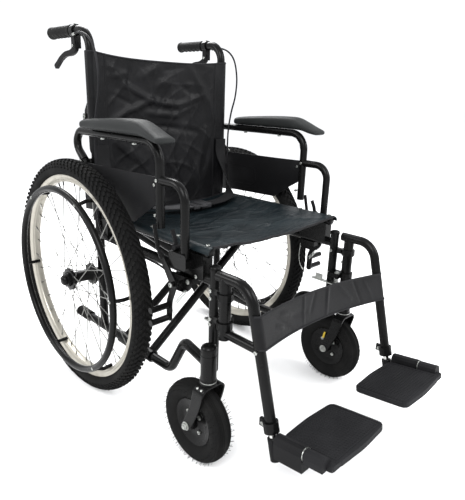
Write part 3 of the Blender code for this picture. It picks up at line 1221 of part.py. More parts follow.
def build_side(side, root):
    """Everything that belongs to one side frame, each moving group on its own pivot."""
    name = side_name(side)
    x = side * FRAME_X
    mount([side_frame(side), axle(side), brake_mount(side), brake_cable(side)], root)
    wheel = pivot(name + "_wheel_pivot", at(side * WHEEL_X, 0, WHEEL_R), root)
    mount([rear_tyre(side), rear_rim(side), spoked_hub(side), hand_rim(side)], wheel)
    swivel = pivot(name + "_swivel_pivot", at(side * CASTER_X, CASTER_Y, HOUSING_FOOT), root)
    mount([caster_fork(side)], swivel)
    roller = pivot(name + "_caster_pivot", caster_axle(side), swivel)
    mount([caster_tyre(side), caster_rim(side)], roller)
    leg = pivot(name + "_leg_pivot", at(side * HANGER_X, HANGER_Y, HANGER_FOOT), root)
    mount([leg_rest(side)], leg)
    latch = pivot(name + "_latch_pivot", at(side * LATCH_X, LATCH_Y, LATCH_Z), root)
    mount([leg_latch(side)], latch)
    slide = pivot(name + "_rod_pivot", rod_end(side), leg)
    mount([foot_rod(side), hinge_block(side)], slide)
    flap = pivot(name + "_plate_pivot", plate_frame() @ Vector((hinge_x(side), 0, HINGE_RISE)), slide)
    mount([foot_plate(side)], flap)
    arm = pivot(name + "_arm_pivot", at(side * ARM_X, ARM_PIVOT_Y, ARM_PIVOT_Z), root)
    mount([arm_frame(side), arm_pad(side), side_panel(side)], arm)
    release = pivot(name + "_release_pivot", at(side * ARM_X, RELEASE_Y, RELEASE_Z), root)
    mount([arm_latch(side)], release)
    back = pivot(name + "_back_pivot", at(x, CANE_PIVOT_Y, CANE_PIVOT_Z), root)
    mount([cane(side), grip(side)], back)
    squeeze = pivot(name + "_squeeze_pivot", at(x, CLAMP_Y, LEVER_PIVOT_Z), back)
    mount([attendant_lever(side)], squeeze)
    for piece, label in ((park_lever(side), "lock"), (brake_shoe(side), "shoe")):
        mount([piece], pivot(f"{name}_{label}_pivot", at(side * SHOE_X, BRAKE_Y, BRAKE_Z), root))


def build():
    first = pivot("fold_pivot", at(-FRAME_X, 0, BRACE_PIVOT_Z))
    mount([brace(1, 0.0), cross_bolt(), seat_sling()], first)
    second = pivot("cross_pivot", brace_centre(), first)
    mount([brace(-1, BRACE_STEP)], second)
    third = pivot("side_pivot", at(FRAME_X, 0, BRACE_PIVOT_Z), second)
    build_side(-1, None)
    build_side(1, third)
    back_sling()
    calf_strap()
    lap_belt()
    belt_buckle()


build()
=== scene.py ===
import math

import bpy
from bpy.props import FloatProperty, FloatVectorProperty, IntProperty, PointerProperty
from mathutils import Matrix, Vector


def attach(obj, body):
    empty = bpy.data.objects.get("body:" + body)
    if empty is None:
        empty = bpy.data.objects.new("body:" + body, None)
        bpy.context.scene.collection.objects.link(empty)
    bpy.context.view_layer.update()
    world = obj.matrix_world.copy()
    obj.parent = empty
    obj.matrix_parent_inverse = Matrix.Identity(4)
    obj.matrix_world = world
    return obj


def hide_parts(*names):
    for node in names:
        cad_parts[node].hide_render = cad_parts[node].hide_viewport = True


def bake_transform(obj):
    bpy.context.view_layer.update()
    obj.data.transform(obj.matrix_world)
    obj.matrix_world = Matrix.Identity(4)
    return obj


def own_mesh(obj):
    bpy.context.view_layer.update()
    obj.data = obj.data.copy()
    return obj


bl_info = {
    "name": "Manual wheelchair",
    "version": (1, 0, 0),
    "blender": (4, 5, 0),
    "location": "3D View > Sidebar > Wheelchair",
    "description": "Dresses the folding wheelchair: tyres, upholstery, tubing, fittings and stage",
    "category": "Add Mesh",
}

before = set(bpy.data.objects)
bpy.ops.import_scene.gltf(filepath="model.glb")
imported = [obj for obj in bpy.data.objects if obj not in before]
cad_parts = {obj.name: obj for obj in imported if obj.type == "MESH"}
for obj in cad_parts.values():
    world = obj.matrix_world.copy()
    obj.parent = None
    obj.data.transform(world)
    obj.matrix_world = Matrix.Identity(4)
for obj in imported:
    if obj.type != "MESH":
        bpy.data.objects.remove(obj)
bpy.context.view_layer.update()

AXLE_Y = 0.2323             # rear axle, measured from the middle of the chair
SIDES = (("right", -1), ("left", 1))

FRAME_X = 0.212
TUBE_R = 0.0112             # just over the tubes of the frame
POST_Y = -0.447
LOW_RAIL_Z = 0.142
HIGH_RAIL_Z = 0.410
WHEEL_R = 0.305
WHEEL_X = 0.279
SPOKES = 36
HUB_HOLES_R = 0.0235        # where the spokes enter the hub flanges
HAND_RIM = (0.2345, 0.3225, 0.0085)     # push rim: radius, distance from the middle, half thickness
CLIPS = 6                   # feet that hold each push rim
CASTER_X = 0.250
CASTER_Y = -0.474
CASTER_AXLE_Y = -0.440
CASTER_R = 0.094
HANGER_X = 0.220
HANGER_PIN_Y = -0.486
STRUT_Z = 0.312             # lower arm of the hanger
LATCH_X, LATCH_Y = 0.1965, -0.474
ARM_X = 0.2405
ARM_TUBE_Z = 0.675
ARM_FRONT_Y = -0.305
ARM_LOOP_Z = 0.598
ARM_PIVOT_Y = 0.004
SEAT_RAIL_Z = 0.466
SEAT_FRONT = -0.440
SEAT_DEPTH = 0.400
SEAT_WRAP = 0.0116          # radius of the cloth round the seat rails
BACK_WRAP = 0.0124          # radius of the sleeves round the canes
CANE_TOP = 0.906
BACK_FOOT = 0.478
BACK_HEM = 0.450            # hanging lower edge, behind the seat
BACK_TOP = 0.858
BACK_SPLIT = 0.7063         # height of the cane hinge
SLEEVE_FOOT = 0.7540        # above it the sleeve goes all round the cane
SEAM_X = 0.1815             # sewn line beside each sleeve
ARM_PIVOT_Z = 0.600
LEG_TOP = (-0.553, 0.430)
LEG_END = (-0.624, 0.160)
PLATE_TILT = math.radians(8)
PLATE_REAR = (-0.640, 0.146)
HINGE_RISE = 0.002          # foot plate's hinge axis above its tread
LEVER_PIVOT = (0.066, 0.872)
SHARP_EDGE = math.radians(50)          # edges sharper than this are rounded


def at(x, y, z):
    """A place given from the rear axle, in the model's frame."""
    return Vector((x, y + AXLE_Y, z))


def round_at(x, radius, angle, y=0.0, z=WHEEL_R):
    """A place on a circle about an axle at y and z; angle 0 is straight up."""
    return at(x, y + radius * math.sin(angle), z + radius * math.cos(angle))


def leg_y(z):
    """How far back the sloping leg tube is at height z."""
    return LEG_TOP[0] + (z - LEG_TOP[1]) * (LEG_END[0] - LEG_TOP[0]) / (LEG_END[1] - LEG_TOP[1])


# ------------------------------------------------------------------ finishes
class Wire:
    """A shader value that can be added, multiplied and raised with Python's own signs."""

    def __init__(self, paint, socket):
        self.paint = paint
        self.socket = socket

    def maths(self, operation, first, second=0.0):
        return self.paint.add("Math", {0: first, 1: second}, operation=operation)

    def __add__(self, other):
        return self.maths("ADD", self, other)

    def __radd__(self, other):
        return self.maths("ADD", other, self)

    def __sub__(self, other):
        return self.maths("SUBTRACT", self, other)

    def __rsub__(self, other):
        return self.maths("SUBTRACT", other, self)

    def __mul__(self, other):
        return self.maths("MULTIPLY", self, other)

    def __rmul__(self, other):
        return self.maths("MULTIPLY", other, self)

    def __pow__(self, other):
        return self.maths("POWER", self, other)

    def sine(self):
        return self.maths("SINE", self)

    def size(self):
        return self.maths("ABSOLUTE", self)

    def ramp(self, low, high):
        """0 below low, 1 above high, smooth between them."""
        return self.paint.add("MapRange", {0: self, 1: low, 2: high}, interpolation_type="SMOOTHSTEP")


class Paint:
    """A finish: one Principled shader, and one method that adds every other node."""

    def __init__(self, name, colour, roughness, metallic=0.0, **fixed):
        self.material = bpy.data.materials.new(name)
        self.material.use_nodes = True
        self.tree = self.material.node_tree
        self.shader = self.tree.nodes["Principled BSDF"]
        self.material.diffuse_color = (*colour, 1.0)
        self.feed("Base Color", (*colour, 1.0))
        self.feed("Roughness", roughness)
        self.feed("Metallic", metallic)
        for socket, value in fixed.items():
            self.feed(socket.replace("_", " ").title().replace("Ior", "IOR"), value)

    def feed(self, socket, value, node=None):
        target = (node or self.shader).inputs[socket]
        if isinstance(value, Wire):
            self.tree.links.new(value.socket, target)
        else:
            target.default_value = value

    def add(self, kind, sockets=None, output=0, **settings):
        node = self.tree.nodes.new("ShaderNode" + kind)
        for key, value in settings.items():
            setattr(node, key, value)
        for socket, value in (sockets or {}).items():
            self.feed(socket, value, node)
        return Wire(self, node.outputs[output])

    def place(self):
        return self.add("TexCoord", output=3)

    def cloth_map(self):
        return self.add("TexCoord", output=2)

    def noise(self, scale, detail=2.0):
        return self.add("TexNoise", {"Vector": self.place(), "Scale": scale, "Detail": detail})

    def grains(self, scale):
        return self.add("TexVoronoi", {"Vector": self.place(), "Scale": scale})

    def split(self, source):
        return [self.add("SeparateXYZ", {0: source}, output=k) for k in range(3)]

    def tint(self, amount, low, high):
        """Base colour between low and high."""
        mixed = self.add("Mix", {0: amount, 6: (*low, 1.0), 7: (*high, 1.0)}, output=2, data_type="RGBA")
        self.feed("Base Color", mixed)

    def relief(self, height, strength, distance):
        bump = self.add("Bump", {"Height": height, "Strength": strength, "Distance": distance})
        self.feed("Normal", bump)


def powder_coat(tone):
    """Satin black coating: fine orange peel, soft handling marks and a little dust."""
    paint = Paint("black_powder_coat", tone, 0.30, specular_ior_level=0.11)
    haze = paint.noise(9.0, 4.0).ramp(0.45, 0.75)
    marks = paint.noise(120.0, 5.0).ramp(0.60, 0.72)
    paint.tint(haze * 0.35 + marks * 0.12, tone, tuple(c + 0.006 for c in tone))
    paint.feed("Roughness", 0.26 + haze * 0.10 + marks * 0.16)
    paint.relief(paint.noise(850.0, 1.0), 0.10, 0.0006)
    return paint.material


def moulded(name, tone, roughness, grain, depth):
    """Injection moulded plastic with a leather-like grain."""
    paint = Paint(name, tone, roughness, specular_ior_level=0.07)
    haze = paint.noise(14.0, 3.0).ramp(0.40, 0.80)
    paint.tint(haze * 0.5, tone, tuple(c * 1.7 + 0.002 for c in tone))
    paint.feed("Roughness", roughness + haze * 0.10 - paint.noise(230.0).ramp(0.5, 0.9) * 0.08)
    cells = paint.grains(grain)
    paint.relief(cells * 0.7 + paint.noise(grain * 1.6) * 0.3, depth, 0.0008)
    return paint.material


def rubber(name, tone, roughness, dust):
    """Vulcanised rubber: matt, a little bloom, faint mould texture."""
    paint = Paint(name, tone, roughness, specular_ior_level=0.07)
    bloom = paint.noise(18.0, 5.0).ramp(0.42, 0.78)
    paint.tint(bloom * dust, tone, (0.034, 0.032, 0.029))
    paint.feed("Roughness", roughness - bloom * 0.12)
    paint.relief(paint.noise(1400.0, 2.0), 0.16, 0.0006)
    return paint.material


def rim_metal(tone):
    """Wheel rim: pale anodised alloy, drawn round its circumference."""
    paint = Paint("rim_aluminium", tone, 0.36, 0.55)
    x, y, z = paint.split(paint.place())
    y = y - AXLE_Y
    z = z - WHEEL_R
    radius = (y * y + z * z) ** 0.5
    lines = paint.add("TexNoise", {"W": radius * 900.0 + x * 700.0, "Scale": 1.0, "Detail": 3.0},
                      noise_dimensions="1D")
    grime = paint.noise(26.0, 5.0).ramp(0.52, 0.80)
    paint.tint(grime * 0.45 + lines * 0.18, tone, (0.25, 0.23, 0.19))
    paint.feed("Roughness", 0.26 + lines * 0.16 + grime * 0.18)
    paint.relief(lines, 0.12, 0.0004)
    return paint.material


def bright_metal(name, tone, roughness, worn):
    """Plated steel with faint clouding and specks."""
    paint = Paint(name, tone, roughness, 1.0)
    cloud = paint.noise(60.0, 4.0).ramp(0.42, 0.74)
    specks = paint.noise(700.0, 2.0).ramp(0.62, 0.70)
    paint.tint(cloud * worn + specks * 0.2, tone, tuple(c * 0.45 for c in tone))
    paint.feed("Roughness", roughness + cloud * 0.12 + specks * 0.10)
    paint.relief(paint.noise(1100.0, 1.0), 0.05, 0.0004)
    return paint.material


def woven(name, tone, light, roughness, pitch):
    """Coated nylon: plain weave on the piece's own flat map, clouded and finely crinkled."""
    paint = Paint(name, tone, roughness, specular_ior_level=0.12)
    u, v, _ = paint.split(paint.cloth_map())
    turn = math.tau / pitch
    weave = (u * turn).sine() * (v * turn).sine()
    cloud = paint.noise(11.0, 5.0).ramp(0.35, 0.75)
    paint.tint(cloud * 0.6 + weave.size() * 0.15, tone, light)
    paint.feed("Roughness", roughness - 0.07 + cloud * 0.16)
    crinkle = paint.noise(150.0, 4.0)
    paint.relief(weave * 0.22 + crinkle * 0.9, 0.22, 0.0011)
    return paint.material


def webbing(name, tone, light):
    """Belt webbing: ribs across and a twill along its own flat map."""
    paint = Paint(name, tone, 0.62, sheen_weight=0.02, specular_ior_level=0.12)
    u, v, _ = paint.split(paint.cloth_map())
    ribs = (v * (math.tau / 0.0018)).sine()
    twill = ((u + v) * (math.tau / 0.0034)).sine()
    paint.tint(twill.ramp(-0.2, 0.9) * 0.6 + paint.noise(40.0).ramp(0.4, 0.8) * 0.3, tone, light)
    paint.feed("Roughness", 0.56 + twill.ramp(-0.5, 1.0) * 0.14)
    paint.relief(ribs * 0.5 + twill * 0.5, 0.35, 0.0006)
    return paint.material


FINISHES = {}
CAD_FINISHES = {
    "frame": "paint", "axle": "zinc", "brake_mount": "paint", "brake_cable": "cable",
    "rear_tyre": "tyre", "rear_rim": "rim", "spoked_hub": "spokes", "hand_rim": "paint",
    "caster_fork": "paint", "caster_tyre": "tyre", "caster_rim": "paint", "leg_rest": "paint",
    "leg_latch": "zinc", "foot_rod": "chrome", "hinge_block": "plastic", "foot_plate": "grained",
    "arm_frame": "paint", "arm_pad": "pad", "side_panel": "plastic", "arm_latch": "plastic",
    "cane": "paint", "grip": "grip", "attendant_lever": "plastic", "park_lever": "paint",
    "brake_shoe": "paint", "brace_a": "paint", "brace_b": "paint", "cross_bolt": "zinc",
    "seat_sling": "seat", "back_sling": "back", "calf_strap": "back", "lap_belt": "belt",
    "belt_buckle": "buckle",
}


def mix_finishes(colours):
    """Every finish, under the short name that the pieces use."""
    FINISHES.update({
        "paint": powder_coat(tuple(colours.coating)),
        "plastic": moulded("black_plastic", (0.006, 0.006, 0.0065), 0.46, 900.0, 0.10),
        "cable": moulded("cable_cover", (0.012, 0.012, 0.013), 0.34, 1500.0, 0.04),
        "grained": moulded("grained_plate", (0.011, 0.011, 0.012), 0.55, 520.0, 0.30),
        "pad": moulded("pad_skin", (0.016, 0.017, 0.017), 0.46, 760.0, 0.22),
        "buckle": moulded("buckle_plastic", (0.030, 0.030, 0.032), 0.46, 900.0, 0.08),
        "valve": moulded("valve_cap", (0.55, 0.40, 0.05), 0.45, 900.0, 0.05),
        "tyre": rubber("tyre_rubber", (0.006, 0.006, 0.006), 0.80, 0.12),
        "grip": rubber("grip_rubber", (0.006, 0.006, 0.006), 0.62, 0.06),
        "rim": rim_metal(tuple(colours.rim)),
        "spokes": bright_metal("spoke_steel", (0.20, 0.20, 0.19), 0.32, 0.3),
        "zinc": bright_metal("zinc_plate", (0.40, 0.41, 0.39), 0.34, 0.5),
        "chrome": bright_metal("chrome", (0.62, 0.62, 0.60), 0.10, 0.2),
        "back": woven("back_nylon", tuple(colours.back), (0.010, 0.010, 0.011), 0.36, 0.0011),
        "seat": woven("seat_nylon", tuple(colours.seat), (0.012, 0.019, 0.022), 0.36, 0.0011),
        "hem": woven("hem_tape", (0.010, 0.010, 0.011), (0.010, 0.010, 0.011), 0.60, 0.0016),
        "belt": webbing("belt_webbing", (0.006, 0.006, 0.0065), (0.014, 0.014, 0.015)),
        "grey_web": webbing("grey_webbing", (0.045, 0.045, 0.047), (0.090, 0.090, 0.094)),
    })


# ------------------------------------------------------------------ making shapes
def start_fresh():
    """Object mode with nothing selected."""
    if bpy.context.object and bpy.context.object.mode != "OBJECT":
        bpy.ops.object.mode_set(mode="OBJECT")
    bpy.ops.object.select_all(action="DESELECT")


def only(piece):
    """Select one piece and make it active."""
    start_fresh()
    piece.select_set(True)
    bpy.context.view_layer.objects.active = piece


def settle(piece, name=None):
    """Name a piece and put its place, turn and scale into its mesh."""
    only(piece)
    bpy.ops.object.transform_apply(location=True, rotation=True, scale=True)
    if name:
        piece.name = name
        piece.data.name = name
    return piece


def edit(piece, mode="VERT"):
    """Open a piece in edit mode with everything selected."""
    only(piece)
    bpy.ops.object.mode_set(mode="EDIT")
    bpy.ops.mesh.select_mode(type=mode)
    bpy.ops.mesh.select_all(action="SELECT")


def close_up(limit=0.00001):
    """Merge doubled points and turn the faces outwards; the piece is in edit mode, all selected."""
    bpy.ops.mesh.remove_doubles(threshold=limit)
    bpy.ops.mesh.normals_make_consistent(inside=False)
    bpy.ops.object.mode_set(mode="OBJECT")


def finish_modifier(piece, kind, **settings):
    """Add a modifier and apply it."""
    only(piece)
    modifier = piece.modifiers.new(kind.lower(), kind)
    for key, value in settings.items():
        setattr(modifier, key, value)
    bpy.ops.object.modifier_apply(modifier=modifier.name)
    return piece


def ease_edges(piece, width, segments):
    """Round the sharp edges of a plate or strip."""
    return finish_modifier(piece, "BEVEL", width=width, segments=segments, limit_method="ANGLE",
                           angle_limit=SHARP_EDGE)


def turned(name, profile, centre, axis, steps, closed=False):
    """A ring or knob: the profile of (radius, height) is extruded, then spun round the axis."""
    along = Vector(axis).normalized()
    outward = along.orthogonal().normalized()
    points = [Vector(centre) + outward * radius + along * height for radius, height in profile]
    if closed:
        points.append(points[0])
    start_fresh()
    bpy.ops.mesh.primitive_plane_add(size=0.001, location=(0, 0, 0))
    piece = bpy.context.object
    edit(piece)
    bpy.ops.mesh.merge(type="CENTER")
    bpy.ops.transform.translate(value=points[0])
    for before, after in zip(points, points[1:]):
        bpy.ops.mesh.extrude_region_move(TRANSFORM_OT_translate={"value": after - before})
    bpy.ops.mesh.select_all(action="SELECT")
    bpy.ops.mesh.spin(steps=steps, angle=math.tau, center=centre, axis=along)
    bpy.ops.mesh.select_all(action="SELECT")
    close_up()
    return settle(piece, name)


def round_about(piece, centre, axis, copies):
    """Repeat a shape evenly round an axis."""
    edit(piece)
    bpy.ops.mesh.spin(steps=copies - 1, dupli=True, angle=math.tau * (copies - 1) / copies,
                      center=centre, axis=axis)
    bpy.ops.object.mode_set(mode="OBJECT")
    return piece


def bent(corners, radii, steps=8):
    """Points along straight runs joined by bends of the given radii."""
    points = [Vector(corners[0])]
    for index in range(1, len(corners) - 1):
        before, corner, after = (Vector(corners[index + k]) for k in (-1, 0, 1))
        arrive = (corner - before).normalized()
        leave = (after - corner).normalized()
        turn = arrive.angle(leave)
        first = corner - arrive * radii[index - 1] * math.tan(turn / 2)
        inward = (leave - arrive * arrive.dot(leave)).normalized()
        centre = first + inward * radii[index - 1]
        for k in range(steps + 1):
            angle = turn * k / steps
            points.append(centre + (arrive * math.sin(angle) - inward * math.cos(angle)) * radii[index - 1])
    points.append(Vector(corners[-1]))
    return points


def flowing(corners, count):
    """A smooth curve through chosen points, read at even steps."""
    chain = [Vector(p) for p in corners]
    chain = [2 * chain[0] - chain[1]] + chain + [2 * chain[-1] - chain[-2]]
    spans = len(chain) - 3
    points = []
    for k in range(count):
        place = spans * k / (count - 1)
        span = min(int(place), spans - 1)
        t = place - span
        a, b, c, d = chain[span:span + 4]
        points.append(0.5 * (2 * b + (c - a) * t + (2 * a - 5 * b + 4 * c - d) * t * t
                             + (3 * b - a - 3 * c + d) * t ** 3))
    return points


def piped(name, points, radius, fullness=6):
    """A round bar, tube or wire along a line of points, with closed ends."""
    start_fresh()
    bpy.ops.curve.primitive_nurbs_path_add(location=(0, 0, 0))
    piece = bpy.context.object
    line = piece.data
    line.splines.clear()
    spline = line.splines.new("POLY")
    spline.points.add(len(points) - 1)
    for knot, point in zip(spline.points, points):
        knot.co = (*point, 1.0)
    line.dimensions = "3D"
    line.twist_mode = "MINIMUM"
    line.bevel_depth = radius
    line.bevel_resolution = fullness
    line.use_fill_caps = True
    bpy.ops.object.convert(target="MESH")
    edit(piece)
    close_up()
    return settle(piece, name)


def brick(name, size, place, edge=0.0, segments=2, turn=None):
    """A block with rounded edges."""
    start_fresh()
    bpy.ops.mesh.primitive_cube_add(size=1.0, location=(0, 0, 0))
    piece = bpy.context.object
    piece.scale = size
    settle(piece, name)
    if edge:
        edit(piece, "EDGE")
        bpy.ops.mesh.bevel(offset=edge, segments=segments, affect="EDGES")
        bpy.ops.object.mode_set(mode="OBJECT")
    piece.data.transform(Matrix.Translation(place) @ (turn or Matrix.Identity(4)))
    return piece


def bolt_head(name, radius, height, sides=6, socket=0.0):
    """A bolt head standing on the origin and facing up, its rim eased, with a socket if asked."""
    start_fresh()
    bpy.ops.mesh.primitive_cylinder_add(vertices=sides, radius=radius, depth=height,
                                        location=(0, 0, height / 2))
    piece = settle(bpy.context.object, name)
    edit(piece, "EDGE")
    bpy.ops.mesh.bevel(offset=min(radius, height) * 0.22, segments=2, affect="EDGES", clamp_overlap=True)
    if socket:
        bpy.ops.mesh.select_mode(type="FACE")
        bpy.ops.mesh.select_all(action="DESELECT")
        bpy.ops.object.mode_set(mode="OBJECT")
        top = max(piece.data.polygons, key=lambda face: (round(face.center.z, 6), face.area))
        top.select = True
        bpy.ops.object.mode_set(mode="EDIT")
        bpy.ops.mesh.inset(thickness=radius * (1 - socket) * 0.8, depth=0)
        bpy.ops.mesh.extrude_region_move(TRANSFORM_OT_translate={"value": (0, 0, -height * 0.5)})
    bpy.ops.object.mode_set(mode="OBJECT")
    return piece


def stamped(master, place, direction):
    """A copy of a finished shape, with its own mesh, standing at place and facing direction."""
    copy = master.copy()
    copy.data = master.data.copy()
    bpy.context.collection.objects.link(copy)
    turn = Vector(direction).to_track_quat("Z", "Y").to_matrix().to_4x4()
    copy.data.transform(Matrix.Translation(place) @ turn)
    return copy


def scatter(name, master, stands):
    """Copies of one shape at each (place, direction), as one piece; the first shape is used up."""
    copies = [stamped(master, place, direction) for place, direction in stands]
    bpy.data.objects.remove(master)
    return joined(name, copies)


def both_faces(x, reach, y, z):
    """Two stands for scatter, back to back: on the left and right of a place."""
    return [(at(x + facing * reach, y, z), (facing, 0, 0)) for facing in (-1, 1)]


def joined(name, pieces):
    """Several shapes as one piece."""
    start_fresh()
    for piece in pieces:
        piece.select_set(True)
    bpy.context.view_layer.objects.active = pieces[0]
    if len(pieces) > 1:
        bpy.ops.object.join()
    return settle(bpy.context.view_layer.objects.active, name)


def dress(piece, finish, body=None, stands_for=(), crease=38):
    """Give a finished piece its material, shading, body and the nodes it stands for."""
    piece.data.materials.clear()
    piece.data.materials.append(FINISHES[finish])
    only(piece)
    bpy.ops.object.shade_smooth_by_angle(angle=math.radians(crease))
    if body:
        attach(piece, body)
    if stands_for:
        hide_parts(*stands_for)
    return piece


def crease(u, v, fold):
    """Height that one fold gives a point of the cloth; a fold fades out along its line."""
    u0, v0, u1, v1, width, height = fold
    along_u, along_v = u1 - u0, v1 - v0
    span = along_u ** 2 + along_v ** 2
    t = min(1.0, max(0.0, ((u - u0) * along_u + (v - v0) * along_v) / span))
    away = math.hypot(u - u0 - t * along_u, v - v0 - t * along_v)
    return height * math.exp(-(away / width) ** 2) * (0.35 + 0.65 * math.sin(math.pi * (0.12 + 0.76 * t)))


def cloth(name, rows, thickness, offset=1.0):
    """A sheet through rows of points, with a flat map in metres; returns it and its flat size."""
    tall, wide = len(rows), len(rows[0])
    start_fresh()
    bpy.ops.mesh.primitive_grid_add(x_subdivisions=wide - 1, y_subdivisions=tall - 1, size=1.0)
    piece = bpy.context.object
    mesh = piece.data
    if len(mesh.vertices) != wide * tall:
        raise RuntimeError(f"{name}: the grid has {len(mesh.vertices)} points, not {wide * tall}")
    for vertex, point in zip(mesh.vertices, (point for row in rows for point in row)):
        vertex.co = point
    middle = rows[tall // 2]
    column = [row[wide // 2] for row in rows]
    across, down = [0.0], [0.0]
    for lengths, line in ((across, middle), (down, column)):
        for before, after in zip(line, line[1:]):
            lengths.append(lengths[-1] + (after - before).length)
    flat = mesh.uv_layers.active or mesh.uv_layers.new(name="flat")
    for loop in mesh.loops:
        row, place = divmod(loop.vertex_index, wide)
        flat.data[loop.index].uv = (across[place], down[row])
    settle(piece, name)
    area = sum(face.area for face in mesh.polygons)
    finish_modifier(piece, "SOLIDIFY", thickness=thickness, offset=offset, use_even_offset=True)
    return piece, (across[-1], area / across[-1])


def fold_with_chair(piece, body):
    """A soft piece between the sides: it rides on one body, with a mesh of its own."""
    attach(piece, body)
    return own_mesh(piece)


def wrap(centre, radius, first, last, count):
    """Points of an arc; angle 0 is straight ahead or up, growing outwards."""
    angles = [math.radians(first + (last - first) * k / (count - 1)) for k in range(count)]
    return [(centre[0] + radius * math.sin(a), centre[1] + radius * math.cos(a)) for a in angles]


def both_halves(half):
    """A section from the -X edge to the +X edge, given its +X half from the edge inwards."""
    return [(-u, v) for u, v in half] + [(u, v) for u, v in reversed(half) if u > 0.0001]


# ------------------------------------------------------------------ wheels
def wheel_place(side):
    """Middle of a rear wheel."""
    return at(side * WHEEL_X, 0, WHEEL_R)


# Rows of tread blocks: distance from the middle, radius, width, lean and how far ahead in the pitch.
BLOCK_ROWS = (
    (0.0, 0.3020, 0.0050, 0, 0.0), (0.0068, 0.3014, 0.0050, 8, 0.5), (0.0131, 0.2986, 0.0050, 30, 0.0),
    (0.0183, 0.2938, 0.0048, 55, 0.5), (0.0216, 0.2876, 0.0040, 76, 0.0),
)


def knobby_tyre(side, name, pitches):
    """Carcass with a rounded section, and its blocks repeated round the tread."""
    centre = wheel_place(side)
    profile = [(0.2652, -0.0115), (0.2652, 0.0115)]
    for k in range(15):
        angle = math.radians(128 - 256 * k / 14)
        profile.append((0.2815 + 0.0196 * math.cos(angle), 0.0226 * math.sin(angle)))
    carcass = turned(name, profile, centre, (side, 0, 0), 120, closed=True)
    blocks = []
    step = math.tau / pitches
    for offset, radius, width, lean, ahead in BLOCK_ROWS:
        size = (width, step * WHEEL_R * 0.60, 0.0056)
        for hand in (1, -1) if offset else (1,):
            turn = Matrix.Rotation((ahead + (0.25 if hand < 0 else 0)) * step, 4, "X")
            tipped = Matrix.Rotation(math.radians(hand * lean), 4, "Y") @ Matrix.Rotation(hand * 0.5, 4, "Z")
            block = brick("block", size, (0, 0, 0), edge=0.0006, segments=1, turn=turn @ tipped)
            block.data.transform(Matrix.Translation(centre + turn @ Vector((hand * offset, 0, radius))))
            blocks.append(block)
    tread = round_about(joined("tread", blocks), centre, (1, 0, 0), pitches)
    return joined(name, [carcass, tread])


def rear_rim(side, name):
    """Alloy rim: both flanges and the well between them, as one closed section."""
    half = ((0.2478, 0.0040), (0.2482, 0.0070), (0.2505, 0.0098), (0.2540, 0.0124), (0.2558, 0.0131),
            (0.2568, 0.0127), (0.2580, 0.0127), (0.2590, 0.0134), (0.2632, 0.0140), (0.2662, 0.0139),
            (0.2668, 0.0126), (0.2650, 0.0112))
    profile = list(half) + [(radius, -x) for radius, x in reversed(half)]
    return turned(name, profile, wheel_place(side), (side, 0, 0), 120, closed=True)


def spoke_set(side, name):
    """Thirty-six crossed spokes with nipples: four are laced, then repeated nine times."""
    centre = wheel_place(side)
    seats = (0.24325, 0.30425)
    pieces = []
    for k in range(4):
        rim_angle = math.tau * k / SPOKES
        turn = 1 if k < 2 else -1
        hub_angle = rim_angle + turn * math.radians(72)
        start = round_at(side * (seats[k % 2] + turn * 0.0030), HUB_HOLES_R, hub_angle)
        end_x = side * (WHEEL_X + (0.004 if k % 2 else -0.004))
        ends = [round_at(end_x, radius, rim_angle) for radius in (0.2495, 0.2385)]
        pieces.append(piped(f"spoke_{k}", [start, ends[0]], 0.00115, 1))
        pieces.append(piped(f"nipple_{k}", [ends[1], ends[0]], 0.0021, 1))
    return round_about(joined(name, pieces), centre, (1, 0, 0), SPOKES // 4)


def hub_shell(side, name):
    """Black hub: domed dust cap, two flanges for the spokes and a waisted barrel."""
    profile = [(0, 0.3290), (0.0060, 0.3284), (0.0100, 0.3266), (0.0126, 0.3236), (0.0134, 0.3200),
               (0.0134, 0.3178), (0.0178, 0.3172), (0.0186, 0.3150), (0.0186, 0.3095), (0.0275, 0.3085),
               (0.0285, 0.3070), (0.0285, 0.3020), (0.0275, 0.3004), (0.0190, 0.2990), (0.0150, 0.2900),
               (0.0142, 0.2740), (0.0150, 0.2580), (0.0190, 0.2480), (0.0275, 0.2466), (0.0285, 0.2450),
               (0.0285, 0.2410), (0.0275, 0.2394), (0.0170, 0.2384), (0.0150, 0.2340), (0, 0.2338)]
    return turned(name, profile, at(0, 0, WHEEL_R), (side, 0, 0), 48)


def clip_angle(number):
    """Where a clip of the push rim stands, midway between two pairs of spokes."""
    return math.tau * ((number + 0.5) / CLIPS + 0.5 / SPOKES)


def push_rim(side, name):
    """Hoop, and the bent clips that hold it to the wheel."""
    radius, x, half = HAND_RIM
    ring = [(radius + half * math.cos(math.tau * k / 16), x + half * math.sin(math.tau * k / 16))
            for k in range(16)]
    hoop = turned(name, ring, at(0, 0, WHEEL_R), (side, 0, 0), 120, closed=True)
    corners = [round_at(side * x, radius, clip_angle(0))
               for radius, x in ((0.2380, 0.3185), (0.2450, 0.3020), (0.2430, 0.2780))]
    clip = piped("clip", bent(corners, [0.012], 5), 0.0047, 3)
    return joined(name, [hoop, round_about(clip, at(0, 0, WHEEL_R), (1, 0, 0), CLIPS)])


def push_rim_bolts(side, name):
    """A bolt where each clip meets the wheel, and one on each push rim lug."""
    stands = [(round_at(side * (x - 0.0012), radius, clip_angle(k)), (side, 0, 0))
              for k in range(CLIPS) for radius, x in ((0.2430, 0.2835), (0.2352, 0.3305))]
    return scatter(name, bolt_head("rim_bolt", 0.0040, 0.0022, 6, 0.5), stands)


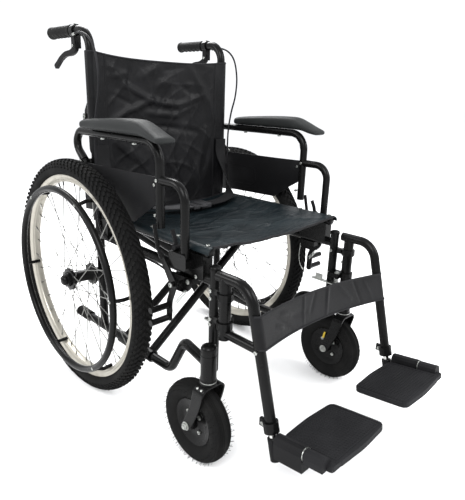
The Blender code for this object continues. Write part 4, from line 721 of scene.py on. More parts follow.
class WHEELCHAIR_OT_wheels(bpy.types.Operator):
    """Rear wheels: knobby tyres, rims, spokes, hubs and push rims"""
    bl_idname = "wheelchair.wheels"
    bl_label = "Rear wheels"

    def execute(self, context):
        pitches = context.scene.wheelchair_sizes.tyre_pitches
        for word, side in SIDES:
            body = word + "_wheel"
            dress(knobby_tyre(side, word + "_knobby_tyre", pitches), "tyre", body, [word + "_rear_tyre"])
            dress(rear_rim(side, word + "_alloy_rim"), "rim", body, [word + "_rear_rim"])
            dress(spoke_set(side, word + "_laced_spokes"), "spokes", body, [word + "_spoked_hub"])
            dress(hub_shell(side, word + "_hub_shell"), "paint", body)
            dress(push_rim(side, word + "_push_rim"), "paint", body, [word + "_hand_rim"])
            dress(push_rim_bolts(side, word + "_push_rim_bolts"), "zinc", body)
        return {"FINISHED"}


# ------------------------------------------------------------------ casters
FORK_END = 0.0125            # rounding of the blades below the axle


def caster_place(side):
    """Middle of a caster wheel."""
    return at(side * CASTER_X, CASTER_AXLE_Y, CASTER_R)


NIBS = 40                    # hair nibs in each row
# Rows of nibs: distance from the middle, radius, lean and how far ahead in the pitch.
NIB_ROWS = ((-0.0195, 0.0850, -70, 0.0), (0.0195, 0.0850, 70, 0.5), (-0.0150, 0.0885, -48, 0.5),
            (0.0150, 0.0885, 48, 0.0), (-0.0222, 0.0780, -95, 0.3), (0.0222, 0.0780, 95, 0.8))


def caster_tyre(side, name):
    """Small pneumatic tyre: ribbed tread, and the hair nibs that moulding leaves."""
    centre = caster_place(side)
    profile = [(0.0525, -0.0095), (0.0525, 0.0095), (0.0560, 0.0150), (0.0640, 0.0205), (0.0740, 0.0230),
               (0.0820, 0.0218), (0.0872, 0.0190), (0.0880, 0.0170), (0.0905, 0.0152), (0.0890, 0.0138),
               (0.0918, 0.0118), (0.0900, 0.0100), (0.0930, 0.0080), (0.0915, 0.0060), (0.0939, 0.0040),
               (0.0925, 0.0018)]
    profile += [(radius, -x) for radius, x in reversed(profile[2:])]
    carcass = turned(name, profile, centre, (1, 0, 0), 72, closed=True)
    spines = []
    for x, radius, lean, lift in NIB_ROWS:
        turn = Matrix.Rotation(lift * math.tau / NIBS, 4, "X")
        start = turn @ Vector((x, 0, radius))
        lean = math.radians(lean)
        end = start + turn @ Vector((math.sin(lean), 0.15, math.cos(lean))) * 0.0088
        spines.append(piped("spine", [centre + start, centre + end], 0.00042, 0))
    nibs = round_about(joined("nibs", spines), centre, (1, 0, 0), NIBS)
    return joined(name, [carcass, nibs])


def caster_rim(side, name):
    """Pressed rim of a caster: hub, thin web and the seats of the tyre."""
    half = CASTER_R - 0.071
    face = [(0.0056, half + 0.0028), (0.0120, half + 0.0028), (0.0132, half + 0.0014), (0.0140, half * 0.46),
            (0.0165, half * 0.38), (0.0340, half * 0.36), (0.0375, half * 0.40), (0.0430, half * 0.50),
            (0.0490, half * 0.56), (0.0535, half * 0.60), (0.0540, half * 0.50)]
    profile = face + [(radius, -x) for radius, x in reversed(face)]
    return turned(name, profile, caster_place(side), (1, 0, 0), 64, closed=True)


def caster_bolts(side, name):
    """Four rim bolts on each face."""
    stands = []
    for facing in (-1, 1):
        for angle in (45, 135, 225, 315):
            x = side * CASTER_X + facing * 0.0082
            stands.append((round_at(x, 0.026, math.radians(angle), CASTER_AXLE_Y, CASTER_R), (facing, 0, 0)))
    return scatter(name, bolt_head("rim_bolt", 0.0048, 0.0042, 6, 0.55), stands)


def fork_strip(side, name):
    """Steel strip bent over the wheel; its blades trail back to the axle and end in a round."""
    top, half = 0.20215, 0.0298
    foot = CASTER_R - FORK_END
    corners = [(-half, 0, foot), (-half, 0, top), (half, 0, top), (half, 0, foot)]
    path = bent(corners, [0.015, 0.015], 9)
    blade = [path[0] + (path[1] - path[0]) * (1 - math.cos(math.pi * k / 36)) for k in range(18)]
    mirrored = [Vector((-p.x, 0, p.z)) for p in reversed(blade)]
    rows = []
    for point in blade + path[1:-1] + mirrored:
        drop = max(0.0, (top - point.z) / (top - CASTER_R))
        middle = -0.477 + 0.037 * drop ** 1.6
        wide = 0.0152 - 0.0020 * min(1.0, drop)
        if point.z < CASTER_R:
            wide *= math.sqrt(max(0.004, 1 - ((CASTER_R - point.z) / FORK_END) ** 2))
        rows.append([at(side * CASTER_X + point.x, middle + wide * (j / 4 - 1), point.z) for j in range(9)])
    strip, _ = cloth("strip", rows, 0.0044, 0.0)
    ease_edges(strip, 0.0009, 2)
    crown = turned("crown", [(0, 0.2087), (0.0172, 0.2086), (0.0184, 0.2078), (0.0192, 0.2050),
                             (0.0192, 0.2035), (0, 0.2034)], at(side * CASTER_X, CASTER_Y, 0), (0, 0, 1), 40)
    return joined(name, [strip, crown])


def axle_nuts(side, name):
    """Nut and washer outside each blade, and the two rivets on the crown's outer shoulder."""
    washer = bolt_head("washer", 0.0098, 0.0012, 32)
    nut = bolt_head("nut", 0.0080, 0.0058, 6)
    end = bolt_head("thread", 0.0046, 0.0084, 16)
    master = joined("nut", [washer, nut, end])
    nuts = scatter("nuts", master, both_faces(side * CASTER_X, 0.0320, CASTER_AXLE_Y, CASTER_R))
    stands = [(at(side * (CASTER_X + 0.0270), y, 0.2004), (side * 0.62, 0, 0.78)) for y in (-0.472, -0.484)]
    rivets = scatter("rivets", bolt_head("rivet", 0.0027, 0.0016, 16), stands)
    return joined(name, [nuts, rivets])


def valve(side, name):
    """Valve tube and cap in the caster rim's face."""
    centre = caster_place(side)
    inner = centre + Vector((-side * 0.0095, 0, 0))
    points = [inner + Vector((side * 0.004, 0.012, 0.040)), inner + Vector((-side * 0.003, 0.012, 0.036)),
              inner + Vector((-side * 0.006, 0.013, 0.024))]
    return piped(name, bent(points, [0.004], 4), 0.0029, 4)


class WHEELCHAIR_OT_casters(bpy.types.Operator):
    """Front casters: tyres with hair nibs, rims, bolts, valves and forks"""
    bl_idname = "wheelchair.casters"
    bl_label = "Front casters"

    def execute(self, context):
        for word, side in SIDES:
            body = word + "_caster_wheel"
            dress(caster_tyre(side, word + "_nibbed_tyre"), "tyre", body, [word + "_caster_tyre"])
            dress(caster_rim(side, word + "_pressed_rim"), "paint", body, [word + "_caster_rim"])
            dress(caster_bolts(side, word + "_caster_rim_bolts"), "zinc", body)
            dress(valve(side, word + "_caster_valve"), "valve", body)
            fork = word + "_caster_fork"
            dress(fork_strip(side, word + "_bent_fork"), "paint", fork, [fork])
            dress(axle_nuts(side, word + "_axle_nuts"), "zinc", fork)
        return {"FINISHED"}


# ------------------------------------------------------------------ tubing
def frame_tubes(side, name):
    """Round tubes over the side frame: post, upright, both rails and the caster housing."""
    x = side * FRAME_X
    lower = bent([at(x, 0.090, LOW_RAIL_Z), at(x, -0.300, LOW_RAIL_Z), at(x, -0.352, 0.234),
                  at(side * CASTER_X, CASTER_Y, 0.246)], [0.030, 0.030], 10)
    housing = turned("housing", [(0, 0.2912), (0.0100, 0.2908), (0.0150, 0.2880), (0.0168, 0.2840),
                                 (0.0168, 0.2700), (0.0176, 0.2694), (0.0176, 0.2668), (0.0168, 0.2662),
                                 (0.0168, 0.2140), (0.0176, 0.2134), (0.0176, 0.2092), (0, 0.2090)],
                     at(side * CASTER_X, CASTER_Y, 0), (0, 0, 1), 40)
    post_cap = turned("post_cap", [(0, 0.4446), (0.0060, 0.4444), (0.0105, 0.4424), (0.0121, 0.4400),
                                   (0.0121, 0.4340), (0, 0.4335)], at(x, POST_Y, 0), (0, 0, 1), 32)
    return joined(name, [
        piped("post", [at(x, POST_Y, 0.2068), at(x, POST_Y, 0.4404)], TUBE_R),
        piped("upright", [at(x, 0, 0.1378), at(x, 0, 0.7059)], TUBE_R),
        piped("upper_rail", [at(x, 0, HIGH_RAIL_Z), at(x, POST_Y, HIGH_RAIL_Z)], TUBE_R),
        piped("lower_rail", lower, TUBE_R), housing, post_cap])


def tipping_tip(side, name):
    """Ribbed rubber end of the tipping lever."""
    profile = [(0, 0.0755), (0.0135, 0.0756), (0.0149, 0.0770)]
    for k in range(7):
        start = 0.080 + 0.0076 * k
        profile += [(0.0149, start), (0.0139, start + 0.0012), (0.0139, start + 0.0026)]
        profile.append((0.0149, start + 0.0038))
    profile += [(0.0149, 0.1350), (0.0138, 0.1372), (0.0090, 0.1385), (0, 0.1388)]
    return turned(name, profile, at(side * FRAME_X, 0, LOW_RAIL_Z), (0, 1, 0), 36)


def cane_tubes(side, name):
    """Upper back post, bent back into the push handle."""
    x = side * FRAME_X
    corners = [at(x, 0, 0.7068), at(x, 0, CANE_TOP), at(x, 0.100, CANE_TOP)]
    return piped(name, bent(corners, [0.045], 12), TUBE_R)


def arm_tubes(side, name):
    """Bent tube of the arm, and the loop in front of it."""
    x = side * ARM_X
    main = bent([at(x, ARM_PIVOT_Y, 0.606), at(x, 0.046, 0.640), at(x, 0.020, ARM_TUBE_Z),
                 at(x, ARM_FRONT_Y, ARM_TUBE_Z), at(x, ARM_FRONT_Y, 0.497)], [0.026, 0.024, 0.044], 10)
    loop = bent([at(x, ARM_FRONT_Y, ARM_LOOP_Z), at(x, -0.386, ARM_LOOP_Z), at(x, -0.386, 0.4474)],
                [0.036], 10)
    return joined(name, [piped("arm_main", main, 0.0097), piped("arm_loop", loop, 0.0095)])


def hanger_tubes(side, name):
    """Leg rest: pin, sloping tube, lower strut and the clamp of the foot rod."""
    x = side * HANGER_X
    end = at(x, *LEG_END)
    down = (end - at(x, *LEG_TOP)).normalized()
    top = bent([at(x, -0.466, LEG_TOP[1]), at(x, *LEG_TOP), end], [0.046], 12)
    pin = turned("pin", [(0, 0.4320), (0.0090, 0.4318), (0.0122, 0.4300), (0.0127, 0.4270), (0.0127, 0.2990),
                         (0, 0.2985)], at(x, HANGER_PIN_Y, 0), (0, 0, 1), 36)
    clamp = piped("clamp", [end - down * 0.0165, end + down * 0.0055], 0.0157, 8)
    strut = [at(x, y, STRUT_Z) for y in (HANGER_PIN_Y, leg_y(STRUT_Z))]
    return joined(name, [pin, piped("hanger_top", top, TUBE_R), clamp, piped("strut", strut, 0.0097)])


def brace_tubes(side, name):
    """The two crossing bars and the seat rail of one half of the brace."""
    low, high = -side * FRAME_X, side * FRAME_X
    planes = [y + (0.0 if side > 0 else 0.025) for y in (-0.212, -0.102)]
    foot_z = LOW_RAIL_Z + (SEAT_RAIL_Z - LOW_RAIL_Z) * 0.025
    bars = [piped("bar", [at(low * 0.95, y, foot_z), at(high, y, SEAT_RAIL_Z)], 0.0107) for y in planes]
    rail = piped("rail", [at(high, -0.030, SEAT_RAIL_Z), at(high, -0.428, SEAT_RAIL_Z)], 0.0109)
    cap = turned("rail_cap", [(0, 0.4354), (0.0060, 0.4350), (0.0100, 0.4332), (0.0114, 0.4305),
                              (0.0114, 0.4200), (0, 0.4198)], at(high, 0, SEAT_RAIL_Z), (0, -1, 0), 32)
    return joined(name, bars + [rail, cap])


class WHEELCHAIR_OT_tubing(bpy.types.Operator):
    """Round tubes over the frame, canes, arms, hangers and braces, with rubber tips and rings"""
    bl_idname = "wheelchair.tubing"
    bl_label = "Tubing"

    def execute(self, context):
        for word, side in SIDES:
            dress(frame_tubes(side, word + "_frame_tubes"), "paint", word + "_side")
            dress(tipping_tip(side, word + "_tipping_tip"), "grip", word + "_side")
            dress(cane_tubes(side, word + "_cane_tube"), "paint", word + "_cane")
            dress(arm_tubes(side, word + "_arm_tubes"), "paint", word + "_arm")
            dress(hanger_tubes(side, word + "_hanger_tubes"), "paint", word + "_leg_rest")
            brace = "brace_a" if side > 0 else "brace_b"
            dress(brace_tubes(side, brace + "_tubes"), "paint", brace)
            ring = turned(word + "_housing_ring", [(0.0150, 0.2070), (0.0178, 0.2072), (0.0178, 0.2098),
                          (0.0150, 0.2100)], at(side * CASTER_X, CASTER_Y, 0), (0, 0, 1), 40, closed=True)
            dress(ring, "zinc", word + "_side")
        return {"FINISHED"}


# ------------------------------------------------------------------ upholstery
BACK_FOLDS = (
    (-0.117, 0.789, -0.034, 0.752, 0.0085, 0.0050), (-0.162, 0.703, -0.034, 0.752, 0.0090, 0.0048),
    (-0.034, 0.751, 0.058, 0.739, 0.0100, 0.0046), (0.058, 0.739, 0.135, 0.766, 0.0090, 0.0044),
    (-0.099, 0.846, -0.112, 0.794, 0.0065, -0.0036), (0.099, 0.842, 0.182, 0.718, 0.0110, 0.0034),
    (-0.049, 0.719, 0.052, 0.711, 0.0090, 0.0036), (0.052, 0.711, 0.110, 0.737, 0.0085, 0.0036),
    (-0.166, 0.807, -0.112, 0.819, 0.0080, 0.0030), (-0.070, 0.812, -0.016, 0.842, 0.0130, 0.0042),
    (-0.016, 0.792, 0.034, 0.808, 0.0120, 0.0034), (0.010, 0.836, 0.070, 0.848, 0.0080, -0.0026),
    (0.060, 0.800, 0.100, 0.776, 0.0090, -0.0030), (-0.150, 0.760, -0.100, 0.742, 0.0080, -0.0030),
    (-0.010, 0.722, 0.020, 0.776, 0.0080, -0.0024), (-0.180, 0.850, -0.120, 0.775, 0.0120, 0.0030),
    (0.153, 0.672, 0.124, 0.535, 0.0090, 0.0042), (0.180, 0.676, 0.152, 0.560, 0.0070, -0.0030),
    (0.080, 0.680, 0.098, 0.520, 0.0120, 0.0036), (-0.040, 0.690, 0.120, 0.664, 0.0100, -0.0036),
    (-0.180, 0.664, -0.060, 0.588, 0.0120, 0.0040), (-0.130, 0.690, -0.010, 0.612, 0.0100, -0.0030),
    (-0.020, 0.660, 0.030, 0.500, 0.0120, 0.0030), (-0.170, 0.600, -0.080, 0.500, 0.0120, 0.0032),
)
SEAT_FOLDS = (
    (-0.190, -0.405, 0.010, -0.375, 0.0060, 0.0018), (-0.080, -0.432, 0.120, -0.405, 0.0065, 0.0020),
    (-0.190, -0.330, -0.040, -0.300, 0.0070, 0.0020), (0.020, -0.365, 0.195, -0.345, 0.0060, 0.0017),
    (-0.150, -0.255, 0.040, -0.225, 0.0070, -0.0018), (0.060, -0.300, 0.190, -0.270, 0.0065, -0.0016),
    (-0.120, -0.190, 0.090, -0.160, 0.0060, 0.0016), (-0.185, -0.150, -0.050, -0.110, 0.0070, 0.0018),
    (0.080, -0.215, 0.190, -0.190, 0.0065, 0.0018), (-0.030, -0.110, 0.150, -0.080, 0.0070, 0.0016),
    (-0.195, -0.432, -0.110, -0.360, 0.0090, 0.0024), (0.195, -0.430, 0.120, -0.360, 0.0090, 0.0022),
    (-0.195, -0.050, -0.120, -0.120, 0.0090, 0.0022), (0.195, -0.050, 0.130, -0.110, 0.0090, 0.0020),
)


def crumple(u, v, size):
    """Sharp little ridges that cross each other, as in nylon that was folded small."""
    height = 0.0
    for k, (turn, pitch, share) in enumerate(((0.35, 0.071, 1.0), (1.25, 0.058, 0.8), (2.30, 0.049, 0.7),
                                              (2.85, 0.083, 0.9))):
        along = u * math.cos(turn) + v * math.sin(turn)
        aside = v * math.cos(turn) - u * math.sin(turn)
        phase = math.pi * along / pitch + 0.9 * math.sin(23 * aside + 2.1 * k) + 1.7 * k
        patch = 0.5 + 0.5 * math.sin(31 * aside + 17 * along + 1.3 * k)
        height += share * patch * (1 - abs(math.sin(phase))) ** 3
    return size * height


def back_half_columns():
    """Places across the back, from the cane inwards, closer together at the sleeve's seam."""
    places = [0.2060, 0.1990, 0.1930, 0.1880, 0.1850, 0.1836, 0.1822, 0.1808, 0.1794, 0.1780, 0.1740]
    return places + [0.1740 * (1 - k / 72) for k in range(1, 73)]


def back_section(height):
    """The back's section at one height: hooked round each cane, sagging between them.

    It is open beside the arm's pivot, and a closed sleeve above the cane hinge.
    """
    boss = min(1.0, max(0.0, 1.6 - abs(height - ARM_PIVOT_Z) / 0.020))
    sleeve = min(1.0, max(0.0, (height - SLEEVE_FOOT - 0.0020) / 0.0030))
    half = wrap((FRAME_X, 0), BACK_WRAP, 118 - 68 * boss + 122 * sleeve, 0, 20)
    t = (height - BACK_FOOT) / (BACK_TOP - BACK_FOOT)
    sag = 0.016 + 0.012 * math.sin(math.pi * t)
    for u in back_half_columns():
        shape = 1 - (u / FRAME_X) ** 2
        half.append((u, BACK_WRAP - sag * shape))
    return both_halves(half)


def back_rows(heights):
    """Rows of points across the back, with its folds, seams and drooping top edge."""
    rows = []
    for z in heights:
        droop = 0.0105 * ((z - BACK_FOOT) / (BACK_TOP - BACK_FOOT)) ** 3
        row = []
        for u, ahead in back_section(z):
            hold = max(0.0, 1 - (abs(u) / 0.196) ** 6)
            edge = min(1.0, 0.25 + (BACK_TOP - z) / 0.030)
            lift = sum(crease(u, z, fold) for fold in BACK_FOLDS) * hold * edge
            lift += crumple(u, z, 0.0024) * hold * edge
            seam = -0.0016 * math.exp(-((abs(u) - SEAM_X) / 0.0016) ** 2)
            dip = droop * (1 - min(1.0, abs(u) / FRAME_X) ** 3)
            row.append(at(u, seam - ahead - lift, z - dip))
        rows.append(row)
    return rows


def seat_rows():
    """Rows of points across the seat, from the front edge back, hooked over both rails."""
    rows = []
    for k in range(151):
        depth = k / 150
        y = SEAT_FRONT + SEAT_DEPTH * depth
        half = wrap((FRAME_X, SEAT_RAIL_Z), SEAT_WRAP, 92, 0, 10)
        sag = 0.0150 - 0.0020 * depth
        for j in range(1, 81):
            u = FRAME_X * (1 - j / 80)
            half.append((u, SEAT_RAIL_Z + SEAT_WRAP - sag * (1 - (u / FRAME_X) ** 2)))
        row = []
        for u, height in both_halves(half):
            hold = max(0.0, 1 - (abs(u) / 0.205) ** 6)
            ripple = math.sin(330 * (y + 0.030 * math.sin(9 * u) + 0.012 * math.sin(31 * u + 40 * y)))
            patch = 0.5 + 0.5 * math.sin(23 * u + 1.3) * math.sin(17 * y + 29 * u)
            lift = (0.0004 * ripple * patch + crumple(u * 0.7, y * 1.9, 0.0022)) * hold
            lift += sum(crease(u, y, fold) for fold in SEAT_FOLDS) * hold
            bow = 0.006 * max(0.0, 1 - depth / 0.10) * (1 - (min(abs(u), FRAME_X) / FRAME_X) ** 2)
            row.append(at(u, y + bow, height + lift))
        rows.append(row)
    return rows


class WHEELCHAIR_OT_seat(bpy.types.Operator):
    """Seat sling between the rails, with its bound front edge"""
    bl_idname = "wheelchair.seat"
    bl_label = "Seat"

    def execute(self, context):
        thick = context.scene.wheelchair_sizes.cloth
        rows = seat_rows()
        seat, flat = cloth("seat_cloth", rows, thick)
        dress(seat, "seat", stands_for=["seat_sling"], crease=70)
        hems = []
        for word, row in (("front", rows[0]), ("rear", rows[-1])):
            shift = Vector((0, 0.0016 if word == "front" else -0.0016, 0.0011))
            hem = piped(f"seat_{word}_hem", [point + shift for point in row[9:-9]], 0.0029, 3)
            hems.append(dress(hem, "hem"))
        for piece in [seat] + hems:
            at(-0.190, -0.24, 0.470)
            at(0.190, -0.24, 0.470)
            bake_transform(piece)
        return {"FINISHED"}


class WHEELCHAIR_OT_back(bpy.types.Operator):
    """Back upholstery in two lengths, parted where the canes fold"""
    bl_idname = "wheelchair.back"
    bl_label = "Back"

    def execute(self, context):
        thick = context.scene.wheelchair_sizes.cloth
        lower = [BACK_HEM + (BACK_SPLIT - BACK_HEM) * k / 96 for k in range(97)]
        upper = [BACK_SPLIT + (SLEEVE_FOOT - BACK_SPLIT) * k / 14 for k in range(14)]
        upper += [SLEEVE_FOOT + 0.0012 * k for k in range(6)]
        closed = SLEEVE_FOOT + 0.0012 * 6
        upper += [closed + (BACK_TOP - closed) * k / 42 for k in range(43)]
        for word, heights, body, nodes in (("lower", lower, "right_side", ["back_sling"]),
                                           ("upper", upper, "right_cane", [])):
            rows = back_rows(heights)
            piece, flat = cloth(f"back_{word}_cloth", rows, thick)
            dress(piece, "back", stands_for=nodes, crease=70)
            fold_with_chair(piece, body)
            edge = rows[0] if word == "lower" else rows[-1]
            drop = Vector((0, -0.0011, 0.0012 if word == "lower" else -0.0012))
            hem = dress(piped(f"back_{word}_hem", [point + drop for point in edge[2:-2]], 0.0026, 3), "hem")
            fold_with_chair(hem, body)
        return {"FINISHED"}


STRAP_FOOT = 0.308
STRAP_TOP = 0.372
STRAP_TILT = 0.050          # the strap hangs a little lower on the left
STRAP_WRAP = 0.0122         # radius of the cloth round the leg tubes
STRAP_SAG = 0.012
STRAP_FOLDS = (
    (-0.150, 0.356, -0.128, 0.350, 0.0035, 0.0015), (-0.172, 0.338, -0.150, 0.330, 0.0040, 0.0018),
    (-0.060, 0.372, -0.075, 0.318, 0.0040, 0.0018), (-0.020, 0.366, -0.045, 0.330, 0.0045, -0.0015),
    (0.030, 0.370, 0.010, 0.312, 0.0045, 0.0018), (0.070, 0.362, 0.105, 0.330, 0.0050, 0.0015),
    (0.120, 0.372, 0.140, 0.316, 0.0045, -0.0014), (0.160, 0.360, 0.180, 0.320, 0.0045, 0.0014),
    (-0.110, 0.342, -0.060, 0.336, 0.0060, -0.0016), (-0.190, 0.366, -0.120, 0.316, 0.0050, -0.0014),
)


class WHEELCHAIR_OT_calf_strap(bpy.types.Operator):
    """Strap behind the calves, hooked round both hangers"""
    bl_idname = "wheelchair.calf_strap"
    bl_label = "Calf strap"

    def execute(self, context):
        rows = []
        for k in range(25):
            z = STRAP_FOOT + (STRAP_TOP - STRAP_FOOT) * k / 24
            half = wrap((HANGER_X, 0), STRAP_WRAP, 82, -14, 12)
            start_u, start_v = half[-1]
            for j in range(1, 81):
                u = start_u * (1 - j / 80)
                half.append((u, start_v - (start_v + STRAP_SAG) * (1 - (u / start_u) ** 2)))
            row = []
            for u, ahead in both_halves(half):
                hold = max(0.0, 1 - (abs(u) / 0.208) ** 8)
                lift = sum(crease(u, z, fold) for fold in STRAP_FOLDS) * hold
                row.append(at(u, leg_y(z) - ahead - lift, z - STRAP_TILT * u))
            rows.append(row)
        strap, flat = cloth("calf_strap_cloth", rows, context.scene.wheelchair_sizes.cloth)
        dress(strap, "back", stands_for=["calf_strap"], crease=70)
        fold_with_chair(strap, "right_side")
        for word, row in (("top", rows[-1]), ("bottom", rows[0])):
            inset = Vector((0, -0.0011, -0.0014 if word == "top" else 0.0014))
            hem = dress(piped(f"calf_{word}_hem", [point + inset for point in row[2:-2]], 0.0025, 3), "hem")
            fold_with_chair(hem, "right_side")
        return {"FINISHED"}


BELT_LINE = ((-0.203, -0.0160, 0.640), (-0.201, -0.0200, 0.585), (-0.192, -0.0460, 0.530),
             (-0.168, -0.0760, 0.496), (-0.120, -0.1100, 0.4860), (-0.075, -0.1300, 0.4830),
             (-0.022, -0.1370, 0.4825), (0.044, -0.1370, 0.4825), (0.100, -0.1330, 0.4845),
             (0.150, -0.1130, 0.4920), (0.180, -0.0760, 0.512), (0.196, -0.0400, 0.555),
             (0.201, -0.0190, 0.600), (0.203, -0.0160, 0.640))
BELT_ACROSS = ((1.0, 0.0, 0),) * 2 + ((0.80, -0.60, 0), (0.35, -0.90, 0)) + ((0.0, -1.0, 0),) * 6 \
    + ((-0.55, -0.80, 0), (-0.85, -0.50, 0)) + ((-1.0, 0.0, 0),) * 2


BELT_THICK = 0.0018
BELT_HALF = 0.019
BELT_STEPS = 140
BUCKLE = (0.011, -0.137, 0.4825)


def belt_rows(first, last, lift):
    """Rows across the belt between two shares of its length."""
    points = flowing([at(*place) for place in BELT_LINE], BELT_STEPS + 1)
    widths = flowing([Vector(place) for place in BELT_ACROSS], BELT_STEPS + 1)
    rows = []
    for k in range(round(first * BELT_STEPS), round(last * BELT_STEPS) + 1):
        reach = widths[k].normalized() * BELT_HALF
        ripple = 0.0007 * math.sin(0.55 * k)
        rows.append([points[k] + reach * (j / 4 - 1) + Vector((0, 0, lift + ripple * (1 - abs(j / 4 - 1))))
                     for j in range(9)])
    return rows


def side_release_buckle():
    """Socket with four ridges, tongue, adjuster bar, and the two prongs that are squeezed."""
    middle = at(*BUCKLE)

    def block(name, size, x, edge, segments, z=0.0):
        return brick(name, size, middle + Vector((x, 0, z)), edge, segments)

    pieces = [block("body", (0.034, 0.046, 0.0135), 0.012, 0.0036, 3),
              block("tongue", (0.016, 0.047, 0.0105), -0.0205, 0.0030, 2),
              block("bar", (0.005, 0.044, 0.0120), -0.0295, 0.0016, 2, 0.0005)]
    for end in (-1, 1):
        line = [middle + Vector((x, end * y, 0))
                for x, y in ((-0.014, 0.015), (-0.004, 0.0205), (0.008, 0.0225), (0.016, 0.0190))]
        pieces.append(piped("prong", flowing(line, 12), 0.0034, 4))
    pieces += [block("ridge", (0.0016, 0.026, 0.0150), 0.006 + 0.005 * k, 0.0006, 1) for k in range(4)]
    return joined("side_release_buckle", pieces)


class WHEELCHAIR_OT_lap_belt(bpy.types.Operator):
    """Lap belt: webbing, its grey adjusting length and the side-release buckle"""
    bl_idname = "wheelchair.lap_belt"
    bl_label = "Lap belt"

    def execute(self, context):
        belt, flat = cloth("belt_web", belt_rows(0.0, 1.0, 0.0), BELT_THICK, 0.0)
        dress(belt, "belt", stands_for=["lap_belt"], crease=70)
        fold_with_chair(belt, "right_side")
        tail, tail_flat = cloth("belt_adjuster_web", belt_rows(0.25, 0.475, 0.0024), BELT_THICK, 0.0)
        dress(tail, "grey_web", crease=70)
        fold_with_chair(tail, "right_side")
        fold_with_chair(dress(side_release_buckle(), "buckle", stands_for=["belt_buckle"]), "right_side")
        return {"FINISHED"}


# ------------------------------------------------------------------ arms, grips and plates
# The pad from the side, back to front: y, top and foot.
PAD_STATIONS = (
    (-0.0360, 0.6990, 0.6860), (-0.0420, 0.7040, 0.6852), (-0.0700, 0.7078, 0.6850),
    (-0.1060, 0.7106, 0.6850), (-0.1900, 0.7156, 0.6850), (-0.2450, 0.7168, 0.6850),
    (-0.2700, 0.7150, 0.6848), (-0.2950, 0.7062, 0.6830), (-0.3200, 0.6960, 0.6775),
    (-0.3400, 0.6885, 0.6752), (-0.3500, 0.6860, 0.6752),
)
PAD_X = 0.2525
PAD_HALF = 0.024
PAD_LENGTH = 0.314
PAD_ROUND = 0.011           # rounding of the pad's two ends


def read_at(line, place):
    """Top and foot of the pad at a place along it, from an even curve through the stations."""
    for first, last in zip(line, line[1:]):
        if place >= last.x:
            t = min(1.0, max(0.0, (place - first.x) / (last.x - first.x)))
            return first.y + (last.y - first.y) * t, first.z + (last.z - first.z) * t
    return line[-1].y, line[-1].z


def moulded_pad(side, name):
    """Arm pad: a ball pulled out into a crowned bar that slopes down at the front."""
    start_fresh()
    bpy.ops.mesh.primitive_uv_sphere_add(segments=40, ring_count=56, radius=1.0, location=(0, 0, 0))
    piece = bpy.context.object
    line = flowing(PAD_STATIONS, 81)
    for vertex in piece.data.vertices:
        x, y, z = vertex.co
        around = math.hypot(x, y)
        along = (1 - z) / 2
        near = min(1.0, min(along, 1 - along) * PAD_LENGTH / PAD_ROUND)
        swell = math.sqrt(max(0.0, 1 - (1 - near) ** 2))
        place = PAD_STATIONS[0][0] - PAD_LENGTH * along
        top, foot = read_at(line, place)
        c, s = (x / around, y / around) if around > 0.0001 else (0.0, 0.0)
        across = math.copysign(abs(c) ** 0.62, c) * PAD_HALF
        rise = math.copysign(abs(s) ** 0.70, s)
        height = (top + foot) / 2 + rise * (top - foot) / 2 * swell
        crown = 0.0012 * (1 - (across / PAD_HALF) ** 2) if rise > 0.6 else 0.0
        vertex.co = at(side * (PAD_X + across * swell), place, height - 0.0006 + crown * swell)
    edit(piece)
    close_up()
    return settle(piece, name)


GRIP_R = 0.0138
NOTCHES_START = 0.0895
NOTCH = 0.0178              # length of each of the five finger notches


def notched_grip(side, name):
    """Rubber handle: collar, ribs and finger notches along its underside."""
    profile = [(0, 0.0788), (0.0120, 0.0790), (0.0148, 0.0802), (0.0152, 0.0830), (0.0148, 0.0862),
               (GRIP_R, 0.0880)]
    profile += [(GRIP_R + (0.0004 if k % 2 else 0.0), 0.0900 + 0.0018 * k) for k in range(49)]
    profile += [(0.0146, 0.1800), (0.0152, 0.1830), (0.0150, 0.1870), (0.0130, 0.1894), (0.0070, 0.1902),
                (0, 0.1903)]
    centre = at(side * FRAME_X, 0, CANE_TOP)
    piece = turned(name, profile, centre, (0, 1, 0), 32)
    for vertex in piece.data.vertices:
        below = max(0.0, (CANE_TOP - vertex.co.z) / GRIP_R)
        along = vertex.co.y - AXLE_Y - NOTCHES_START
        if below > 0.2 and 0 < along < 5 * NOTCH:
            wave = 0.5 - 0.5 * math.cos(math.tau * along / NOTCH)
            vertex.co.z += 0.0030 * wave * below ** 2
    return piece


def plate_place(x, y, z):
    """A place on the foot plate: y runs back along it, z stands off it."""
    tilted = Matrix.Rotation(-PLATE_TILT, 4, "X") @ Vector((x, y, z))
    return at(tilted.x, tilted.y + PLATE_REAR[0], tilted.z + PLATE_REAR[1])


PLATE_X = 0.1268
STUD_PITCH = 0.0068


def plate_tread(side, name):
    """Raised diamonds over the foot plate inside a low rim."""
    stud = brick("stud", (0.0040, 0.0040, 0.0013), (0, 0, 0), 0.0005, 1, Matrix.Rotation(math.pi / 4, 4, "Z"))
    for count, step in ((21, (STUD_PITCH, 0, 0)), (16, (0, STUD_PITCH, 0))):
        finish_modifier(stud, "ARRAY", count=count, use_relative_offset=False, use_constant_offset=True,
                        constant_offset_displace=step)
    x, y = side * PLATE_X, -0.0640
    stud.data.transform(Matrix.Translation((x - STUD_PITCH * 10, -0.1150, 0.0003)))
    bars = [brick("bar", (0.1500, 0.0022, 0.0016), (x, y + shift, 0.0004), 0.0005, 1)
            for shift in (0.0570, -0.0570)]
    bars += [brick("bar", (0.0022, 0.1120, 0.0016), (x + shift, y, 0.0004), 0.0005, 1)
             for shift in (0.0750, -0.0750)]
    piece = joined(name, [stud] + bars)
    for vertex in piece.data.vertices:
        vertex.co = plate_place(*vertex.co)
    return piece


